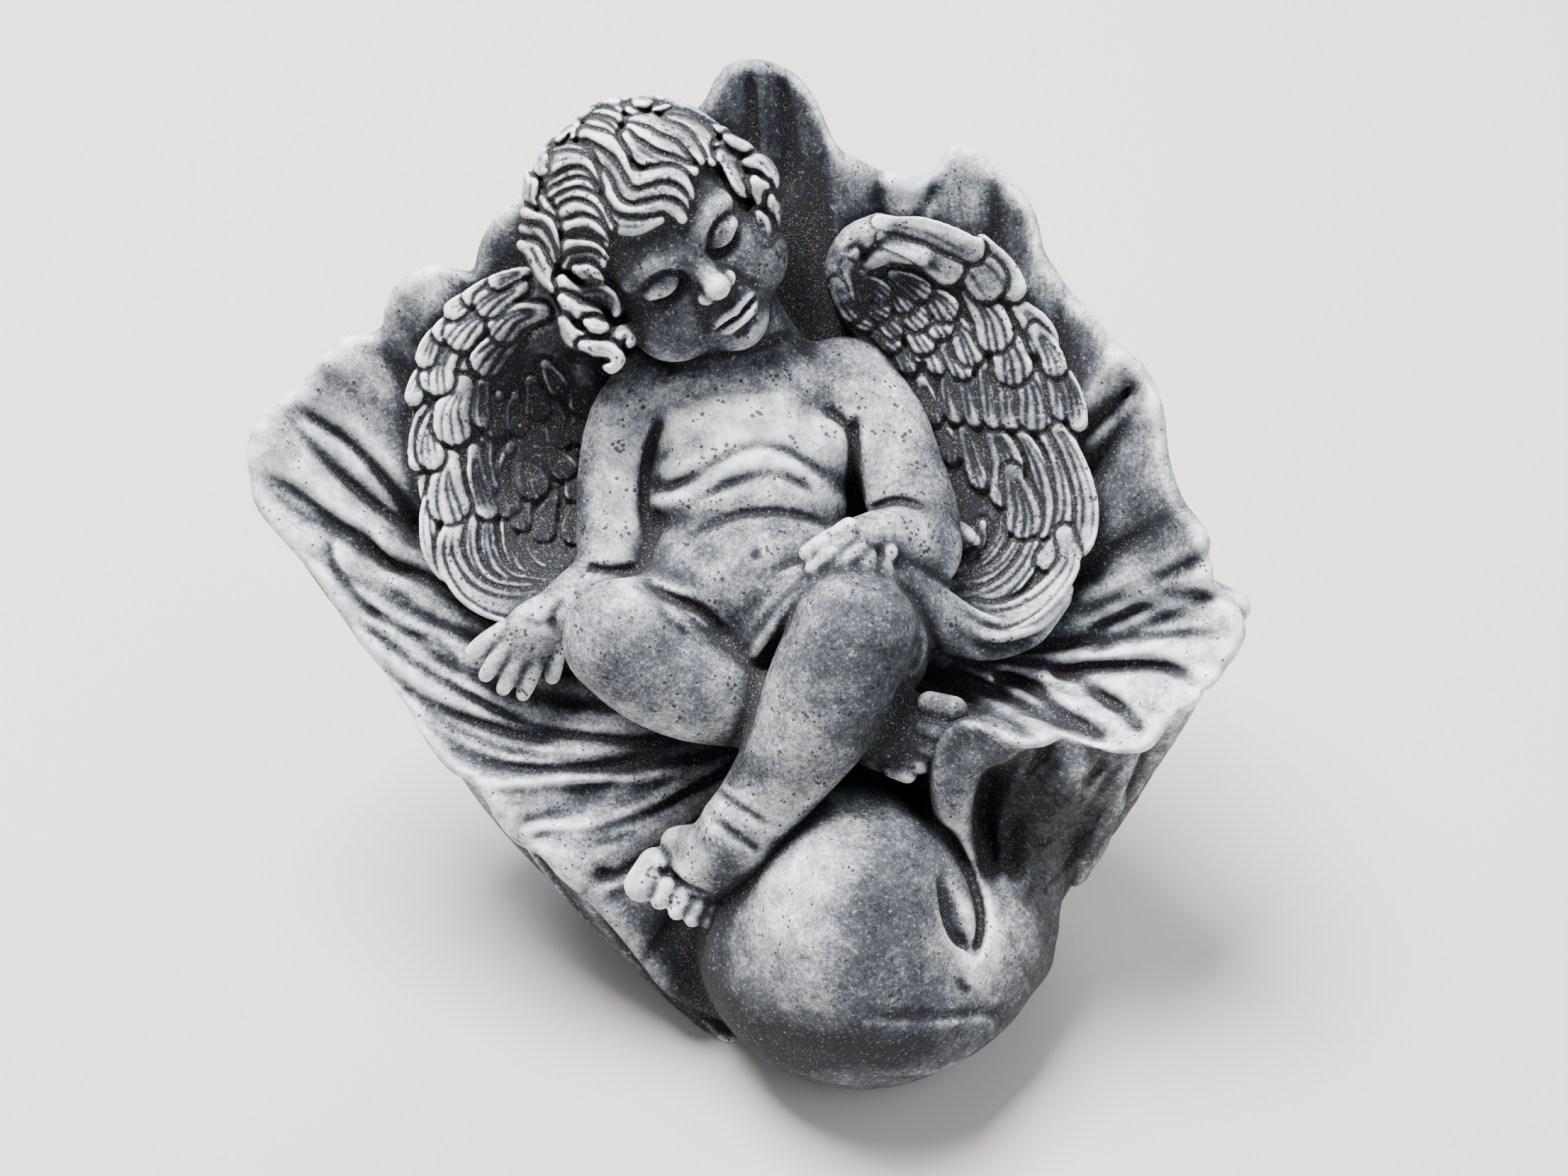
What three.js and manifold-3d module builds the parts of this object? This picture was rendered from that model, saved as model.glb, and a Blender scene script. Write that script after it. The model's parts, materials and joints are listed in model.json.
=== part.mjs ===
// A garden statue cast in one piece: a winged child asleep in an open, ruffled shell that rests on its own whorl.
// Millimetres, +Z up. The statue faces -Y, +X is to the viewer's right, and the origin is under the middle of the part.
import * as THREE from "three";
import { mergeVertices } from "three/addons/utils/BufferGeometryUtils.js";
import Module from "manifold-3d";

const wasm = await Module();
wasm.setup();
const { Manifold, Mesh: SolidMesh } = wasm;
const { degToRad, lerp, clamp, smoothstep } = THREE.MathUtils;

// ---------------------------------------------------------------------------------------------------------------
// Driving dimensions. The work is carved in a leaning frame: x to the viewer's right, y up the shell, z out of it.
// ---------------------------------------------------------------------------------------------------------------
const LEAN = degToRad(45); // how far the shell is raised from lying flat
const LIFT = 103; // height of the carving frame's origin above the ground
const CONCRETE = { color: 0xa9abaf, roughness: 0.93, metalness: 0 };

const SHELL = {
  centre: [16, -10], // the rim is drawn about this point
  bowl: -28, // z of the deepest place inside
  roll: 8, // thickness of the rim
  base: { x: 14, y: -24, halfWidth: 52, halfDepth: 58, sink: 4 }, // footprint on the ground
  mesh: { columnWidth: 10, faceRings: 8, backRings: 4 },
};
// Round the rim: angle, reach from the centre, height z.
const RIM = [
  [0, 93, 23],
  [30, 92, 20],
  [60, 105, 15],
  [88, 118, 10],
  [104, 134, 14],
  [120, 136, 12],
  [135, 136, 10],
  [150, 145, 12],
  [163, 158, 18],
  [180, 131, 13],
  [200, 107, 8],
  [230, 99, 4],
  [262, 100, -18],
  [283, 93, -16],
  [298, 47, 26],
  [315, 38, 34],
  [333, 64, 36],
  [348, 88, 30],
];
// Ruffles on the rim: angle, half width in degrees, how far they reach out, how far they rise.
const RUFFLES = [
  [99, 6, 14, 8],
  [74, 8, 14, 4],
  [40, 5, 7, 4],
  [12, 4, 2, 3],
  [358, 5, 6, 3],
  [130, 3.5, 4, 4],
  [142, 4, 5, 5],
  [151, 3, 3, 4],
  [206, 4, 4, 3],
  [219, 4, 3, 3],
];
// Valleys between the folds: angle at the rim, how far the valley turns by half-way in, and its depth.
const FOLDS = [
  [6, -15, 8.1],
  [20, -11, 5.4],
  [39, -19, 8.1],
  [57, -26, 9.5],
  [72, -20, 6.8],
  [86, -7, 10.8],
  [98, 2, 5.4],
  [110, 5, 8.1],
  [124, 6, 6.8],
  [136.5, 9, 9.5],
  [148, 14, 9.5],
  [158.5, 20, 9.5],
  [166, 20, 6.8],
  [172, 25, 6.8],
  [180, 25, 6.8],
  [189, 27, 6.8],
  [202, 23, 8.1],
  [213, 19, 6.8],
  [226, 12, 6.8],
  [239, 6, 8.1],
  [251, 3, 6.8],
  [270, 0, 4.1],
  [290, 0, 4.1],
  [318, 5, 5.4],
  [334, 4, 6.8],
  [345, -2, 6.8],
  [354, -6, 6.8],
];
const WHORL = { centre: [19, -92, -4], radii: [42, 39.5, 42] };

// The child's head has a frame of its own: x to its left, y to its crown, z out of its face.
const HEAD = {
  centre: [-30.6, 88.8, 20],
  face: [0.36, -0.38, 0.85],
  crown: [-0.556, 0.645, 0.524],
};
const HAIR = {
  centre: [0, 5, -5],
  radii: [26.5, 27, 30],
  crown: [0, 0.75, -0.66],
  tiers: [
    [45, 9],
    [78, 13],
    [112, 16],
  ], // where each tier of locks ends, in degrees down from the crown, and its number of locks
  curls: [
    [26, -5, 8],
    [26, -14, 2],
    [24, -23, -2],
  ],
};

// Wings: the line that the outer feathers follow, from the shoulder blade over the top and round to the elbow, and how
// far in and how far down the web lies from it.
const FEATHERS = { columns: 4, rows: 8, root: 22 };
const WINGS = [
  {
    side: 1,
    line: [
      [12, 78, 4],
      [20, 90, 12],
      [32, 91, 15],
      [47, 84, 15],
      [58, 70, 13],
      [67, 52, 11],
      [73, 33, 10],
      [73, 14, 10],
      [66, 1, 9],
      [54, -7, 7],
      [42, -5, 4],
    ],
    inset: [-7, 2, 11, 19, 26],
    drop: [5, 0, 4, 9, 12],
  },
  {
    side: -1,
    line: [
      [-56, 73, 3],
      [-67, 75, 12],
      [-79, 69, 14],
      [-87, 57, 13],
      [-90, 42, 11],
      [-89, 26, 10],
      [-85, 11, 9],
      [-77, 0, 7],
      [-66, -5, 5],
      [-54, -4, 2],
    ],
    inset: [-6, 2, 12, 21, 30],
    drop: [5, 0, 8, 15, 18],
  },
];

// ---------------------------------------------------------------------------------------------------------------
// Solids from three.js geometry
// ---------------------------------------------------------------------------------------------------------------
const vector = (p) => new THREE.Vector3(p[0], p[1], p[2]);
const OUT = () => new THREE.Vector3(0, 0, 1);
const bump = (x) => Math.exp(-x * x);

function solid(geometry) {
  const bare = geometry.index ? geometry.toNonIndexed() : geometry.clone();
  for (const name of Object.keys(bare.attributes)) if (name !== "position") bare.deleteAttribute(name);
  const merged = mergeVertices(bare, 1e-3);
  return new Manifold(
    new SolidMesh({
      numProp: 3,
      vertProperties: merged.attributes.position.array,
      triVerts: new Uint32Array(merged.index.array),
    }),
  );
}

// Moves every vertex of a geometry to where place(x, y, z, index) says.
function reshape(geometry, place) {
  const position = geometry.attributes.position;
  for (let i = 0; i < position.count; i++) {
    const p = place(position.getX(i), position.getY(i), position.getZ(i), i);
    position.setXYZ(i, p.x, p.y, p.z);
  }
  return geometry;
}

function blob(centre, radii, { turn = [0, 0, 0], sides = 10, rings = 6 } = {}) {
  const geometry = new THREE.SphereGeometry(1, sides, rings);
  geometry.scale(...(Array.isArray(radii) ? radii : [radii, radii, radii]));
  geometry.rotateX(degToRad(turn[0])).rotateY(degToRad(turn[1])).rotateZ(degToRad(turn[2]));
  return geometry.translate(...centre);
}

// A closed tube through stations [x, y, z, half width, half depth]. facing(point) is its depth direction, and
// relief(t, u) raises its skin at the share t of its length, u going from -1 to 1 across the side that faces out.
function limb(stations, { sides = 8, steps = 4, caps = 1, facing = OUT, relief = () => 0 } = {}) {
  const spine = new THREE.CatmullRomCurve3(stations.map(vector), false, "centripetal");
  const last = stations.length - 1;
  const size = (t, column) => {
    const at = clamp(t, 0, 1) * last;
    const i = Math.min(Math.floor(at), last - 1);
    const value = (s) => s[column] ?? s[3];
    return lerp(value(stations[i]), value(stations[i + 1]), smoothstep(at - i, 0, 1));
  };
  return reshape(new THREE.CapsuleGeometry(1, 2, caps, sides, steps), (x, y, z) => {
    const t = clamp((y + 1) / 2, 0, 1);
    const middle = spine.getPoint(t);
    const along = spine.getTangent(t);
    const out = facing(middle);
    const depth = out.addScaledVector(along, -out.dot(along)).normalize();
    const across = new THREE.Vector3().crossVectors(depth, along);
    const beyond = Math.sign(y) * Math.max(Math.abs(y) - 1, 0);
    const raised = x > 0 ? relief(t, z) * x : 0;
    return middle
      .addScaledVector(across, z * size(t, 3))
      .addScaledVector(depth, x * size(t, 4) + raised)
      .addScaledVector(along, beyond * size(t, 3));
  });
}

// ---------------------------------------------------------------------------------------------------------------
// The shell
// ---------------------------------------------------------------------------------------------------------------
const toGround = (p) =>
  new THREE.Vector3(
    p.x,
    p.y * Math.cos(LEAN) - p.z * Math.sin(LEAN),
    p.y * Math.sin(LEAN) + p.z * Math.cos(LEAN) + LIFT,
  );
const toCarving = (p) =>
  new THREE.Vector3(
    p.x,
    p.y * Math.cos(LEAN) + (p.z - LIFT) * Math.sin(LEAN),
    -p.y * Math.sin(LEAN) + (p.z - LIFT) * Math.cos(LEAN),
  );
const wrap = (degrees) => ((degrees % 360) + 360) % 360;

// The rim's column (1 reach, 2 height) at an angle: a smooth closed curve through the stations, with the ruffles on it.
function rimAt(angle, column) {
  const n = RIM.length;
  const at = wrap(angle);
  let i = n - 1;
  for (let k = 0; k < n; k++) if (RIM[k][0] <= at) i = k;
  const station = (k) => {
    const turns = Math.floor(k / n);
    const s = RIM[k - turns * n];
    return [s[0] + 360 * turns, s[column]];
  };
  const [a, b, c, d] = [station(i - 1), station(i), station(i + 1), station(i + 2)];
  const span = c[0] - b[0];
  const t = (at - b[0]) / span;
  const m0 = ((c[1] - a[1]) / (c[0] - a[0])) * span;
  const m1 = ((d[1] - b[1]) / (d[0] - b[0])) * span;
  let value =
    b[1] * (2 * t ** 3 - 3 * t ** 2 + 1) +
    m0 * (t ** 3 - 2 * t ** 2 + t) +
    c[1] * (3 * t ** 2 - 2 * t ** 3) +
    m1 * (t ** 3 - t ** 2);
  for (const [middle, half, reach, rise] of RUFFLES) {
    const away = wrap(at - middle + 180) - 180;
    value += (column === 1 ? reach : rise) * bump(away / half);
  }
  return value;
}

// The shell's columns lie along its folds: each has its angle at the rim, its turn, and the depth of the face there.
function shellColumns() {
  return FOLDS.flatMap(([angle, turn, depth], i) => {
    const [next, nextTurn, nextDepth] = FOLDS[(i + 1) % FOLDS.length];
    const gap = wrap(next - angle);
    const width = degToRad(gap) * rimAt(angle + gap / 2, 1);
    const count = Math.max(2, Math.round(width / SHELL.mesh.columnWidth));
    return Array.from({ length: count }, (_, k) => ({
      angle: angle + (gap * k) / count,
      turn: lerp(turn, nextTurn, k / count),
      depth: lerp(depth, nextDepth, k / count) * (1 - Math.sin((Math.PI * k) / count)),
    }));
  });
}

function shellFace({ angle, turn, depth }, share) {
  const here = angle + turn * Math.min((1 - share) / 0.5, 1.2);
  const reach = rimAt(here, 1) * share;
  const tight = smoothstep(80 - rimAt(here, 1), 0, 40); // the bowl turns up late where the rim is near
  const rise = (rimAt(here, 2) - SHELL.bowl) * share ** lerp(1.5, 3, tight);
  return new THREE.Vector3(
    SHELL.centre[0] + reach * Math.cos(degToRad(here)),
    SHELL.centre[1] + reach * Math.sin(degToRad(here)),
    SHELL.bowl + rise - depth * smoothstep(share, 0.3, 0.6) * lerp(1, 0.5, smoothstep(share, 0.85, 1)),
  );
}

function shellBack(column, share) {
  const { x, y, halfWidth, halfDepth, sink } = SHELL.base;
  const outward = new THREE.Vector3(Math.cos(degToRad(column.angle)), Math.sin(degToRad(column.angle)), 0);
  const edge = shellFace(column, 1).addScaledVector(outward, 1 - column.depth / 2);
  const rim = toGround(edge.add(new THREE.Vector3(0, 0, -SHELL.roll)));
  const foot = new THREE.Vector3(x + halfWidth * outward.x, y + halfDepth * outward.y, -sink);
  const belly = rim.clone().lerp(foot, 0.2);
  belly.z = lerp(rim.z, foot.z, 0.55);
  return toCarving(new THREE.QuadraticBezierCurve3(rim, belly, foot).getPoint(share));
}

function shell() {
  const { faceRings, backRings } = SHELL.mesh;
  const rings = faceRings + backRings + 2;
  const columns = shellColumns();
  return reshape(new THREE.SphereGeometry(1, columns.length, rings), (x, y, z, index) => {
    const ring = Math.floor(index / (columns.length + 1));
    const column = columns[(index % (columns.length + 1)) % columns.length];
    if (ring <= faceRings) return shellFace(column, (ring / faceRings) ** 0.8);
    if (ring === faceRings + 1) {
      const outward = new THREE.Vector3(Math.cos(degToRad(column.angle)), Math.sin(degToRad(column.angle)), 0);
      return shellFace(column, 1).addScaledVector(outward, 3).add(new THREE.Vector3(0, 0, -SHELL.roll / 2));
    }
    if (ring === rings) return toCarving(new THREE.Vector3(SHELL.base.x, SHELL.base.y, -SHELL.base.sink));
    return shellBack(column, (ring - faceRings - 2) / (backRings - 1));
  });
}

// The whorl that the shell grows from, with the lip that curls round its eye, and the fold of the flank.
function whorl() {
  return [
    blob(WHORL.centre, WHORL.radii, { sides: 18, rings: 12 }),
    limb([[44, -36, 27, 7], [38, -50, 22, 6], [42, -66, 19, 5], [49, -82, 16, 5], [54, -98, 6, 8], [52, -112, -10, 12]], {
      sides: 7,
      steps: 8,
    }),
    limb([[72, -42, 20, 9], [68, -62, 6, 9], [62, -82, -6, 10], [54, -100, -14, 12]], { sides: 7, steps: 5 }),
  ];
}
const whorlEye = () => limb([[41, -74, 40, 3], [46, -86, 36, 4], [45, -93, 34, 3]], { steps: 3 });

// ---------------------------------------------------------------------------------------------------------------
// The child
// ---------------------------------------------------------------------------------------------------------------
// Breasts, the folds under them and the round belly, on a barrel from the hips (t = 0) to the neck (t = 1).
function torsoRelief(t, u) {
  const breasts = 6 * bump((t - 0.62) / 0.12) * (bump((u - 0.45) / 0.32) + bump((u + 0.45) / 0.32));
  const belly = 6 * bump((t - 0.22) / 0.15) * bump(u / 0.7);
  const fold = (middle) => bump((t - middle - 0.06 * u * u) / 0.03);
  return breasts + belly - 4 * fold(0.5) - 3.5 * fold(0.42);
}

function torso() {
  return [
    limb([[-7, -10, -5, 27, 19], [-8, 6, 0, 28, 24], [-8, 20, -1, 27, 21], [-8, 36, -2, 30, 20], [-9, 48, -3, 28, 16],
      [-9, 60, -2, 14, 12]], { sides: 14, steps: 15, relief: torsoRelief }),
    limb([[-9, 60, -2, 13], [-17, 72, 6, 13]], { sides: 7, steps: 1 }),
    blob([-8, 26, -16], [42, 42, 16]),
  ];
}

function arms() {
  return [
    limb([[-35, 50, -2, 12.5], [-41, 38, 0, 11], [-43.5, 22, 1, 10], [-44, 4, 2, 10]], { steps: 5 }),
    limb([[-44, 2, 2, 9], [-50, -1, 4, 8.5], [-59, -7, 7, 6.5], [-64, -11, 8, 6]]),
    limb([[18, 53, -2, 13], [25, 40, 0, 11.5], [31, 24, 3, 10.5], [36, 9, 8, 10]], { steps: 5 }),
    limb([[37, 7, 9, 10], [31, 9, 18, 10], [22, 10, 25, 7.5], [17, 10, 28, 6.5]]),
  ];
}

function hand(palm, knuckles, tips, thickness) {
  const finger = (knuckle, tip) => {
    const middle = [0, 1, 2].map((k) => lerp(knuckle[k], tip[k], 0.5) + (k === 2 ? 1.5 : 0));
    const stations = [[...knuckle, thickness], [...middle, thickness], [...tip, thickness * 0.85]];
    return limb(stations, { sides: 5, steps: 1, caps: 2 });
  };
  return [palm, ...knuckles.map((knuckle, i) => finger(knuckle, tips[i]))];
}

function hands() {
  return [
    ...hand(
      blob([-65, -12, 9], [8.5, 7.5, 4.5], { turn: [0, 0, 45], sides: 8, rings: 5 }),
      [[-73, -11, 10], [-70, -14, 11], [-67, -17, 11], [-63, -19, 10]],
      [[-81, -17, 6], [-78, -23, 6], [-74, -27, 5], [-69, -28, 4]],
      2.4,
    ),
    ...hand(
      blob([15, 10, 31], [8, 7, 5], { sides: 8, rings: 5 }),
      [[11, 12, 34], [11, 9, 35], [13, 6, 35], [17, 4, 34]],
      [[3, 9, 32], [4, 4, 33], [9, 3, 34], [14, 2, 33]],
      2.3,
    ),
  ];
}

function legs() {
  return [
    limb([[-18, -10, 2, 18], [-30, -11, 15, 16], [-39, -11, 27, 13.5]], { sides: 8, steps: 2, caps: 2 }),
    limb([[-39, -12, 27, 13.5], [-28, -20, 22, 13.5], [-14, -28, 16, 13], [4, -33, 10, 10], [20, -35, 10, 8]], {
      sides: 8,
      steps: 5,
    }),
    limb([[20, -14, 2, 18], [20, -11, 20, 17], [16, -9, 34, 14]], { sides: 9, steps: 2, caps: 2 }),
    limb([[16, -10, 34, 14], [12, -24, 29, 15], [4, -40, 24, 13.5], [-6, -54, 20, 10.5], [-12, -61, 18, 9.5]], {
      sides: 9,
      steps: 5,
      caps: 2,
    }),
  ];
}

function foot(stations, toes) {
  return [
    limb(stations, { sides: 8, steps: 3 }),
    ...toes.map(([x, y, z, size]) => blob([x, y, z], [size, size * 1.1, size], { sides: 5, rings: 4 })),
  ];
}

function feet() {
  return [
    ...foot(
      [[-12, -61, 18, 10, 10], [-19, -67, 15, 12, 9], [-26, -74, 11, 13, 7]],
      [[-36, -76, 10, 4.6], [-31, -80, 10, 3.7], [-26.5, -82.5, 9.5, 3.4], [-22.5, -84.5, 9, 3.2], [-19, -86, 8, 3]],
    ),
    ...foot(
      [[22, -36, 10, 9, 8], [30, -38, 13, 10, 7], [34, -40, 14, 10, 6]],
      [[41, -34, 18, 4.2], [40, -40, 17, 3.4], [38, -45, 16, 3.2], [35, -49, 15, 3]],
    ),
  ];
}

// A cloth runs from the lap over the far thigh, through the hand and along the wing's lower edge.
function drapery() {
  return [
    limb([[-2, -10, 24, 6, 4], [-1, -2, 26, 5, 4], [8, 4, 28, 4, 4], [17, 4, 30, 4, 4]], { sides: 6 }),
    limb([[2, -15, 27, 3, 3], [4, -6, 31, 3, 3], [12, 3, 33, 3, 3]], { sides: 6 }),
    limb([[17, 3, 30, 4], [30, -4, 24, 4.5], [42, -13, 15, 5], [54, -17, 11, 5.5], [66, -12, 9, 5.5], [73, -2, 8, 5]], {
      sides: 6,
      steps: 7,
    }),
    limb([[24, -6, 22, 6], [36, -14, 14, 7], [46, -19, 6, 7], [56, -20, 2, 5]], { sides: 7 }),
  ];
}

// ---------------------------------------------------------------------------------------------------------------
// The head, in its own frame
// ---------------------------------------------------------------------------------------------------------------
function headFrame() {
  const z = vector(HEAD.face).normalize();
  const y = vector(HEAD.crown);
  y.addScaledVector(z, -y.dot(z)).normalize();
  const x = new THREE.Vector3().crossVectors(y, z);
  return new THREE.Matrix4().makeBasis(x, y, z).setPosition(vector(HEAD.centre));
}

function face() {
  const lid = (side) => blob([side * 10, -1, 22.5], [6, 4, 4.5], { sides: 7, rings: 4 });
  return [
    blob([0, -9, 4], [22, 22, 21], { sides: 12, rings: 9 }),
    blob([-10.5, -13, 13], 10.5, { sides: 8, rings: 5 }),
    blob([10.5, -13, 13], 10.5, { sides: 8, rings: 5 }),
    blob([0, -25, 17], [7, 6, 6.5], { sides: 8, rings: 5 }),
    limb([[0, 3, 23, 3], [0, -4, 26, 3], [0, -8, 28, 3.8]], { sides: 6, steps: 2 }),
    limb([[-4, -9, 25.5, 2.4], [4, -9, 25.5, 2.4]], { sides: 5, steps: 1 }),
    limb([[-6, -18, 22.5, 1.4], [0, -16.4, 26, 2], [6, -18, 22.5, 1.4]], { sides: 5, steps: 3 }),
    limb([[-4.5, -19.5, 23, 1.4], [0, -20.3, 25.6, 2.2], [4.5, -19.5, 23, 1.4]], { sides: 5, steps: 2 }),
    lid(-1),
    lid(1),
  ];
}

// Wavy locks run down from the crown in tiers, each lock's end standing over the next one's root.
function lockRelief(down, round) {
  const tier = HAIR.tiers.findIndex(([end]) => down < end);
  if (tier < 0) return -1;
  const [end, count] = HAIR.tiers[tier];
  const start = tier === 0 ? 0 : HAIR.tiers[tier - 1][0];
  const t = (down - start) / (end - start);
  const phase = (count * (round + 10 * Math.sin(t * 4 + tier))) / 360 + tier * 0.5;
  const ridge = Math.abs(Math.sin(Math.PI * phase)) * (0.4 + 0.6 * Math.sin(Math.PI * clamp(t, 0.1, 0.9)));
  return 3.4 * ridge * smoothstep(down, 0, 20) + 1.6 * t;
}

function hair() {
  const crown = vector(HAIR.crown).normalize();
  const side = new THREE.Vector3(1, 0, 0);
  const brow = new THREE.Vector3().crossVectors(side, crown);
  const dome = reshape(new THREE.SphereGeometry(1, 30, 13), (x, y, z) => {
    const down = THREE.MathUtils.radToDeg(Math.acos(clamp(y, -1, 1)));
    const round = THREE.MathUtils.radToDeg(Math.atan2(x, z));
    const direction = crown.clone().multiplyScalar(y).addScaledVector(brow, z).addScaledVector(side, x);
    const [a, b, c] = HAIR.radii;
    const reach = 1 / Math.hypot(direction.x / a, direction.y / b, direction.z / c);
    return direction.multiplyScalar(reach + lockRelief(down, round)).add(vector(HAIR.centre));
  });
  const curls = [-1, 1].flatMap((hand) =>
    HAIR.curls.map(([x, y, z]) => blob([hand * x, y, z], [5, 6, 6], { sides: 6, rings: 4 })),
  );
  return [dome, ...curls];
}

function neckAndHead() {
  const frame = headFrame();
  return [...face(), ...hair()].map((geometry) => geometry.applyMatrix4(frame));
}

// ---------------------------------------------------------------------------------------------------------------
// The wings
// ---------------------------------------------------------------------------------------------------------------
// Rows of feathers as a relief: u across the wing and t along it, each feather ridged and lifted at its tip.
function featherRelief(u, t) {
  const column = Math.min(Math.floor(u * FEATHERS.columns), FEATHERS.columns - 1);
  const across = Math.abs(2 * (u * FEATHERS.columns - column) - 1);
  const along = t * FEATHERS.rows + (column % 2) * 0.5;
  return 2 * (1 - across ** 2) + 3.5 * (along - Math.floor(along + 1e-6));
}

function wing({ side, line, inset, drop }) {
  const edge = new THREE.CatmullRomCurve3(line.map(vector), false, "centripetal");
  const inward = (t) => new THREE.Vector3().crossVectors(OUT(), edge.getTangentAt(t)).multiplyScalar(-side).normalize();
  const from = (list, u) => {
    const i = Math.min(Math.floor(u * (list.length - 1)), list.length - 2);
    return lerp(list[i], list[i + 1], u * (list.length - 1) - i);
  };
  const grid = new THREE.BoxGeometry(1, 1, 1, 2 * FEATHERS.columns, 3 * FEATHERS.rows, 1);
  return reshape(grid, (x, y, z) => {
    const u = side < 0 ? 0.5 - x : x + 0.5;
    const t = y + 0.5;
    const ragged = u === 0 ? 0.8 * featherRelief(0.5 / FEATHERS.columns, t) : 0;
    const height = z > 0 ? featherRelief(u, t) : from(drop, u) - FEATHERS.root * (0.5 + u);
    return edge
      .getPointAt(t)
      .addScaledVector(inward(t), from(inset, u) - ragged)
      .add(new THREE.Vector3(0, 0, height - from(drop, u)));
  });
}

// ---------------------------------------------------------------------------------------------------------------
// One casting, cut flat where it stands
// ---------------------------------------------------------------------------------------------------------------
// The casting is solid, so pockets closed in between its parts are filled: only the outermost skin is kept.
function filled(body) {
  return body.decompose().reduce((most, skin) => (skin.volume() > most.volume() ? skin : most));
}

function casting() {
  const carved = [
    shell(),
    ...whorl(),
    ...torso(),
    ...arms(),
    ...hands(),
    ...legs(),
    ...feet(),
    ...drapery(),
    ...neckAndHead(),
    ...WINGS.map(wing),
  ];
  const upright = new THREE.Matrix4().makeRotationX(LEAN).setPosition(0, 0, LIFT);
  const raised = (geometry) => solid(geometry.applyMatrix4(upright));
  const ground = solid(new THREE.BoxGeometry(600, 600, 200).translate(0, 0, -100));
  return filled(Manifold.union(carved.map(raised)).subtract(raised(whorlEye())).subtract(ground));
}

function geometryOf(body) {
  const { vertProperties, triVerts } = body.getMesh();
  const geometry = new THREE.BufferGeometry();
  geometry.setAttribute("position", new THREE.BufferAttribute(vertProperties, 3));
  geometry.setIndex(new THREE.BufferAttribute(triVerts, 1));
  geometry.computeVertexNormals();
  return geometry;
}

const statue = new THREE.Mesh(geometryOf(casting()), new THREE.MeshStandardMaterial(CONCRETE));
statue.name = "cherub_in_shell";

const garden = new THREE.Group();
garden.add(statue);

export default garden;
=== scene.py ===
"""A garden statue in antiqued cast concrete: a winged child asleep in an open, ruffled shell."""

import json
import math
from copy import copy

import bpy
import numpy as np
import openvdb
from bpy.props import FloatProperty, FloatVectorProperty, PointerProperty
from bpy.types import Operator, Panel, PropertyGroup
from mathutils import Matrix, Vector

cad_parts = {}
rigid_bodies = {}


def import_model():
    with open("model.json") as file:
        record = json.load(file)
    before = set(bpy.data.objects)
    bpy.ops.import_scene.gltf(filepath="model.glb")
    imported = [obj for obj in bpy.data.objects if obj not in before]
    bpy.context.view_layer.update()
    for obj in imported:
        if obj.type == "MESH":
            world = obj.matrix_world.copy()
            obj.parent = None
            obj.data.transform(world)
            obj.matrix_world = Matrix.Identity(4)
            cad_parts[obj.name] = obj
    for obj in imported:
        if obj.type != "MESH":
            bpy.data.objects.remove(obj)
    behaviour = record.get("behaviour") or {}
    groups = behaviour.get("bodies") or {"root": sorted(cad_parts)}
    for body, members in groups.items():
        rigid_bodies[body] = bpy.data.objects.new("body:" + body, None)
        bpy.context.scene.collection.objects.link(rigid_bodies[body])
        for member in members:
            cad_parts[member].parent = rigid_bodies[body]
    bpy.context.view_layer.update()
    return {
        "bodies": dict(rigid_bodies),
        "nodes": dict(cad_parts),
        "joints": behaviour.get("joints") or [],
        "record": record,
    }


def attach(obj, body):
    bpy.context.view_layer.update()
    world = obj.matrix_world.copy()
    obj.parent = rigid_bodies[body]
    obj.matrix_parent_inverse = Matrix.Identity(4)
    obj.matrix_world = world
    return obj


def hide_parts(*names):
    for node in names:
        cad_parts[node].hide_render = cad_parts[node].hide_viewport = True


bl_info = {
    "name": "Sleeping Cherub Garden Statue",
    "version": (1, 0, 0),
    "blender": (4, 5, 0),
    "location": "3D View > Sidebar > Statue",
    "description": "Models an antiqued concrete cherub asleep in a shell",
    "category": "Object",
}

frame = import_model()
CAST = "cherub_in_shell"

# ------------------------------------------------------------------------------------------------
# The carving frame, in millimetres: x to the viewer's right, y up the shell, z out of it. The whole
# carving is leant back by LEAN and lifted by LIFT to stand on the ground.
# ------------------------------------------------------------------------------------------------
LEAN = math.radians(45)
LIFT = 103.0
UPRIGHT = Matrix.Translation((0, 0, LIFT)) @ Matrix.Rotation(LEAN, 4, "X")
MM = 0.001
VIEWER = 568.0  # how far the viewer stands in front of the carving's middle
FAR = 6.0  # the clay's field is cut off at this distance from the surface
COARSE = 1.0


def looks_larger(z, drawn_at):
    """How much larger the viewer sees a thing at height z than at the height where it is drawn."""
    return (VIEWER - drawn_at) / (VIEWER - z)


# ------------------------------------------------------------------------------------------------
# Curves and fields
# ------------------------------------------------------------------------------------------------
def flowing(stations, spans=4, closed=False):
    """A smooth curve through stations, which may carry a width and more beside x, y and z."""
    p = np.array(stations, float)
    if closed:
        ring = np.vstack([p[-1:], p, p[:2]])
    else:
        ring = np.vstack([2 * p[0] - p[1], p, 2 * p[-1] - p[-2]])
    curve = []
    for i in range(len(ring) - 3):
        a, b, c, d = ring[i:i + 4]
        for s in np.arange(spans) / spans:
            curve.append(0.5 * (2 * b + (c - a) * s + (2 * a - 5 * b + 4 * c - d) * s ** 2
                                + (3 * b - a - 3 * c + d) * s ** 3))
    if not closed:
        curve.append(p[-1])
    return np.array(curve)


def smoothstep(x, low, high):
    """0 below low, 1 above high, and a smooth rise between them."""
    t = np.clip((x - low) / (high - low), 0, 1)
    return t * t * (3 - 2 * t)


def bump(x):
    """A bell, 1 high at 0."""
    return np.exp(-np.square(x))


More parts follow.
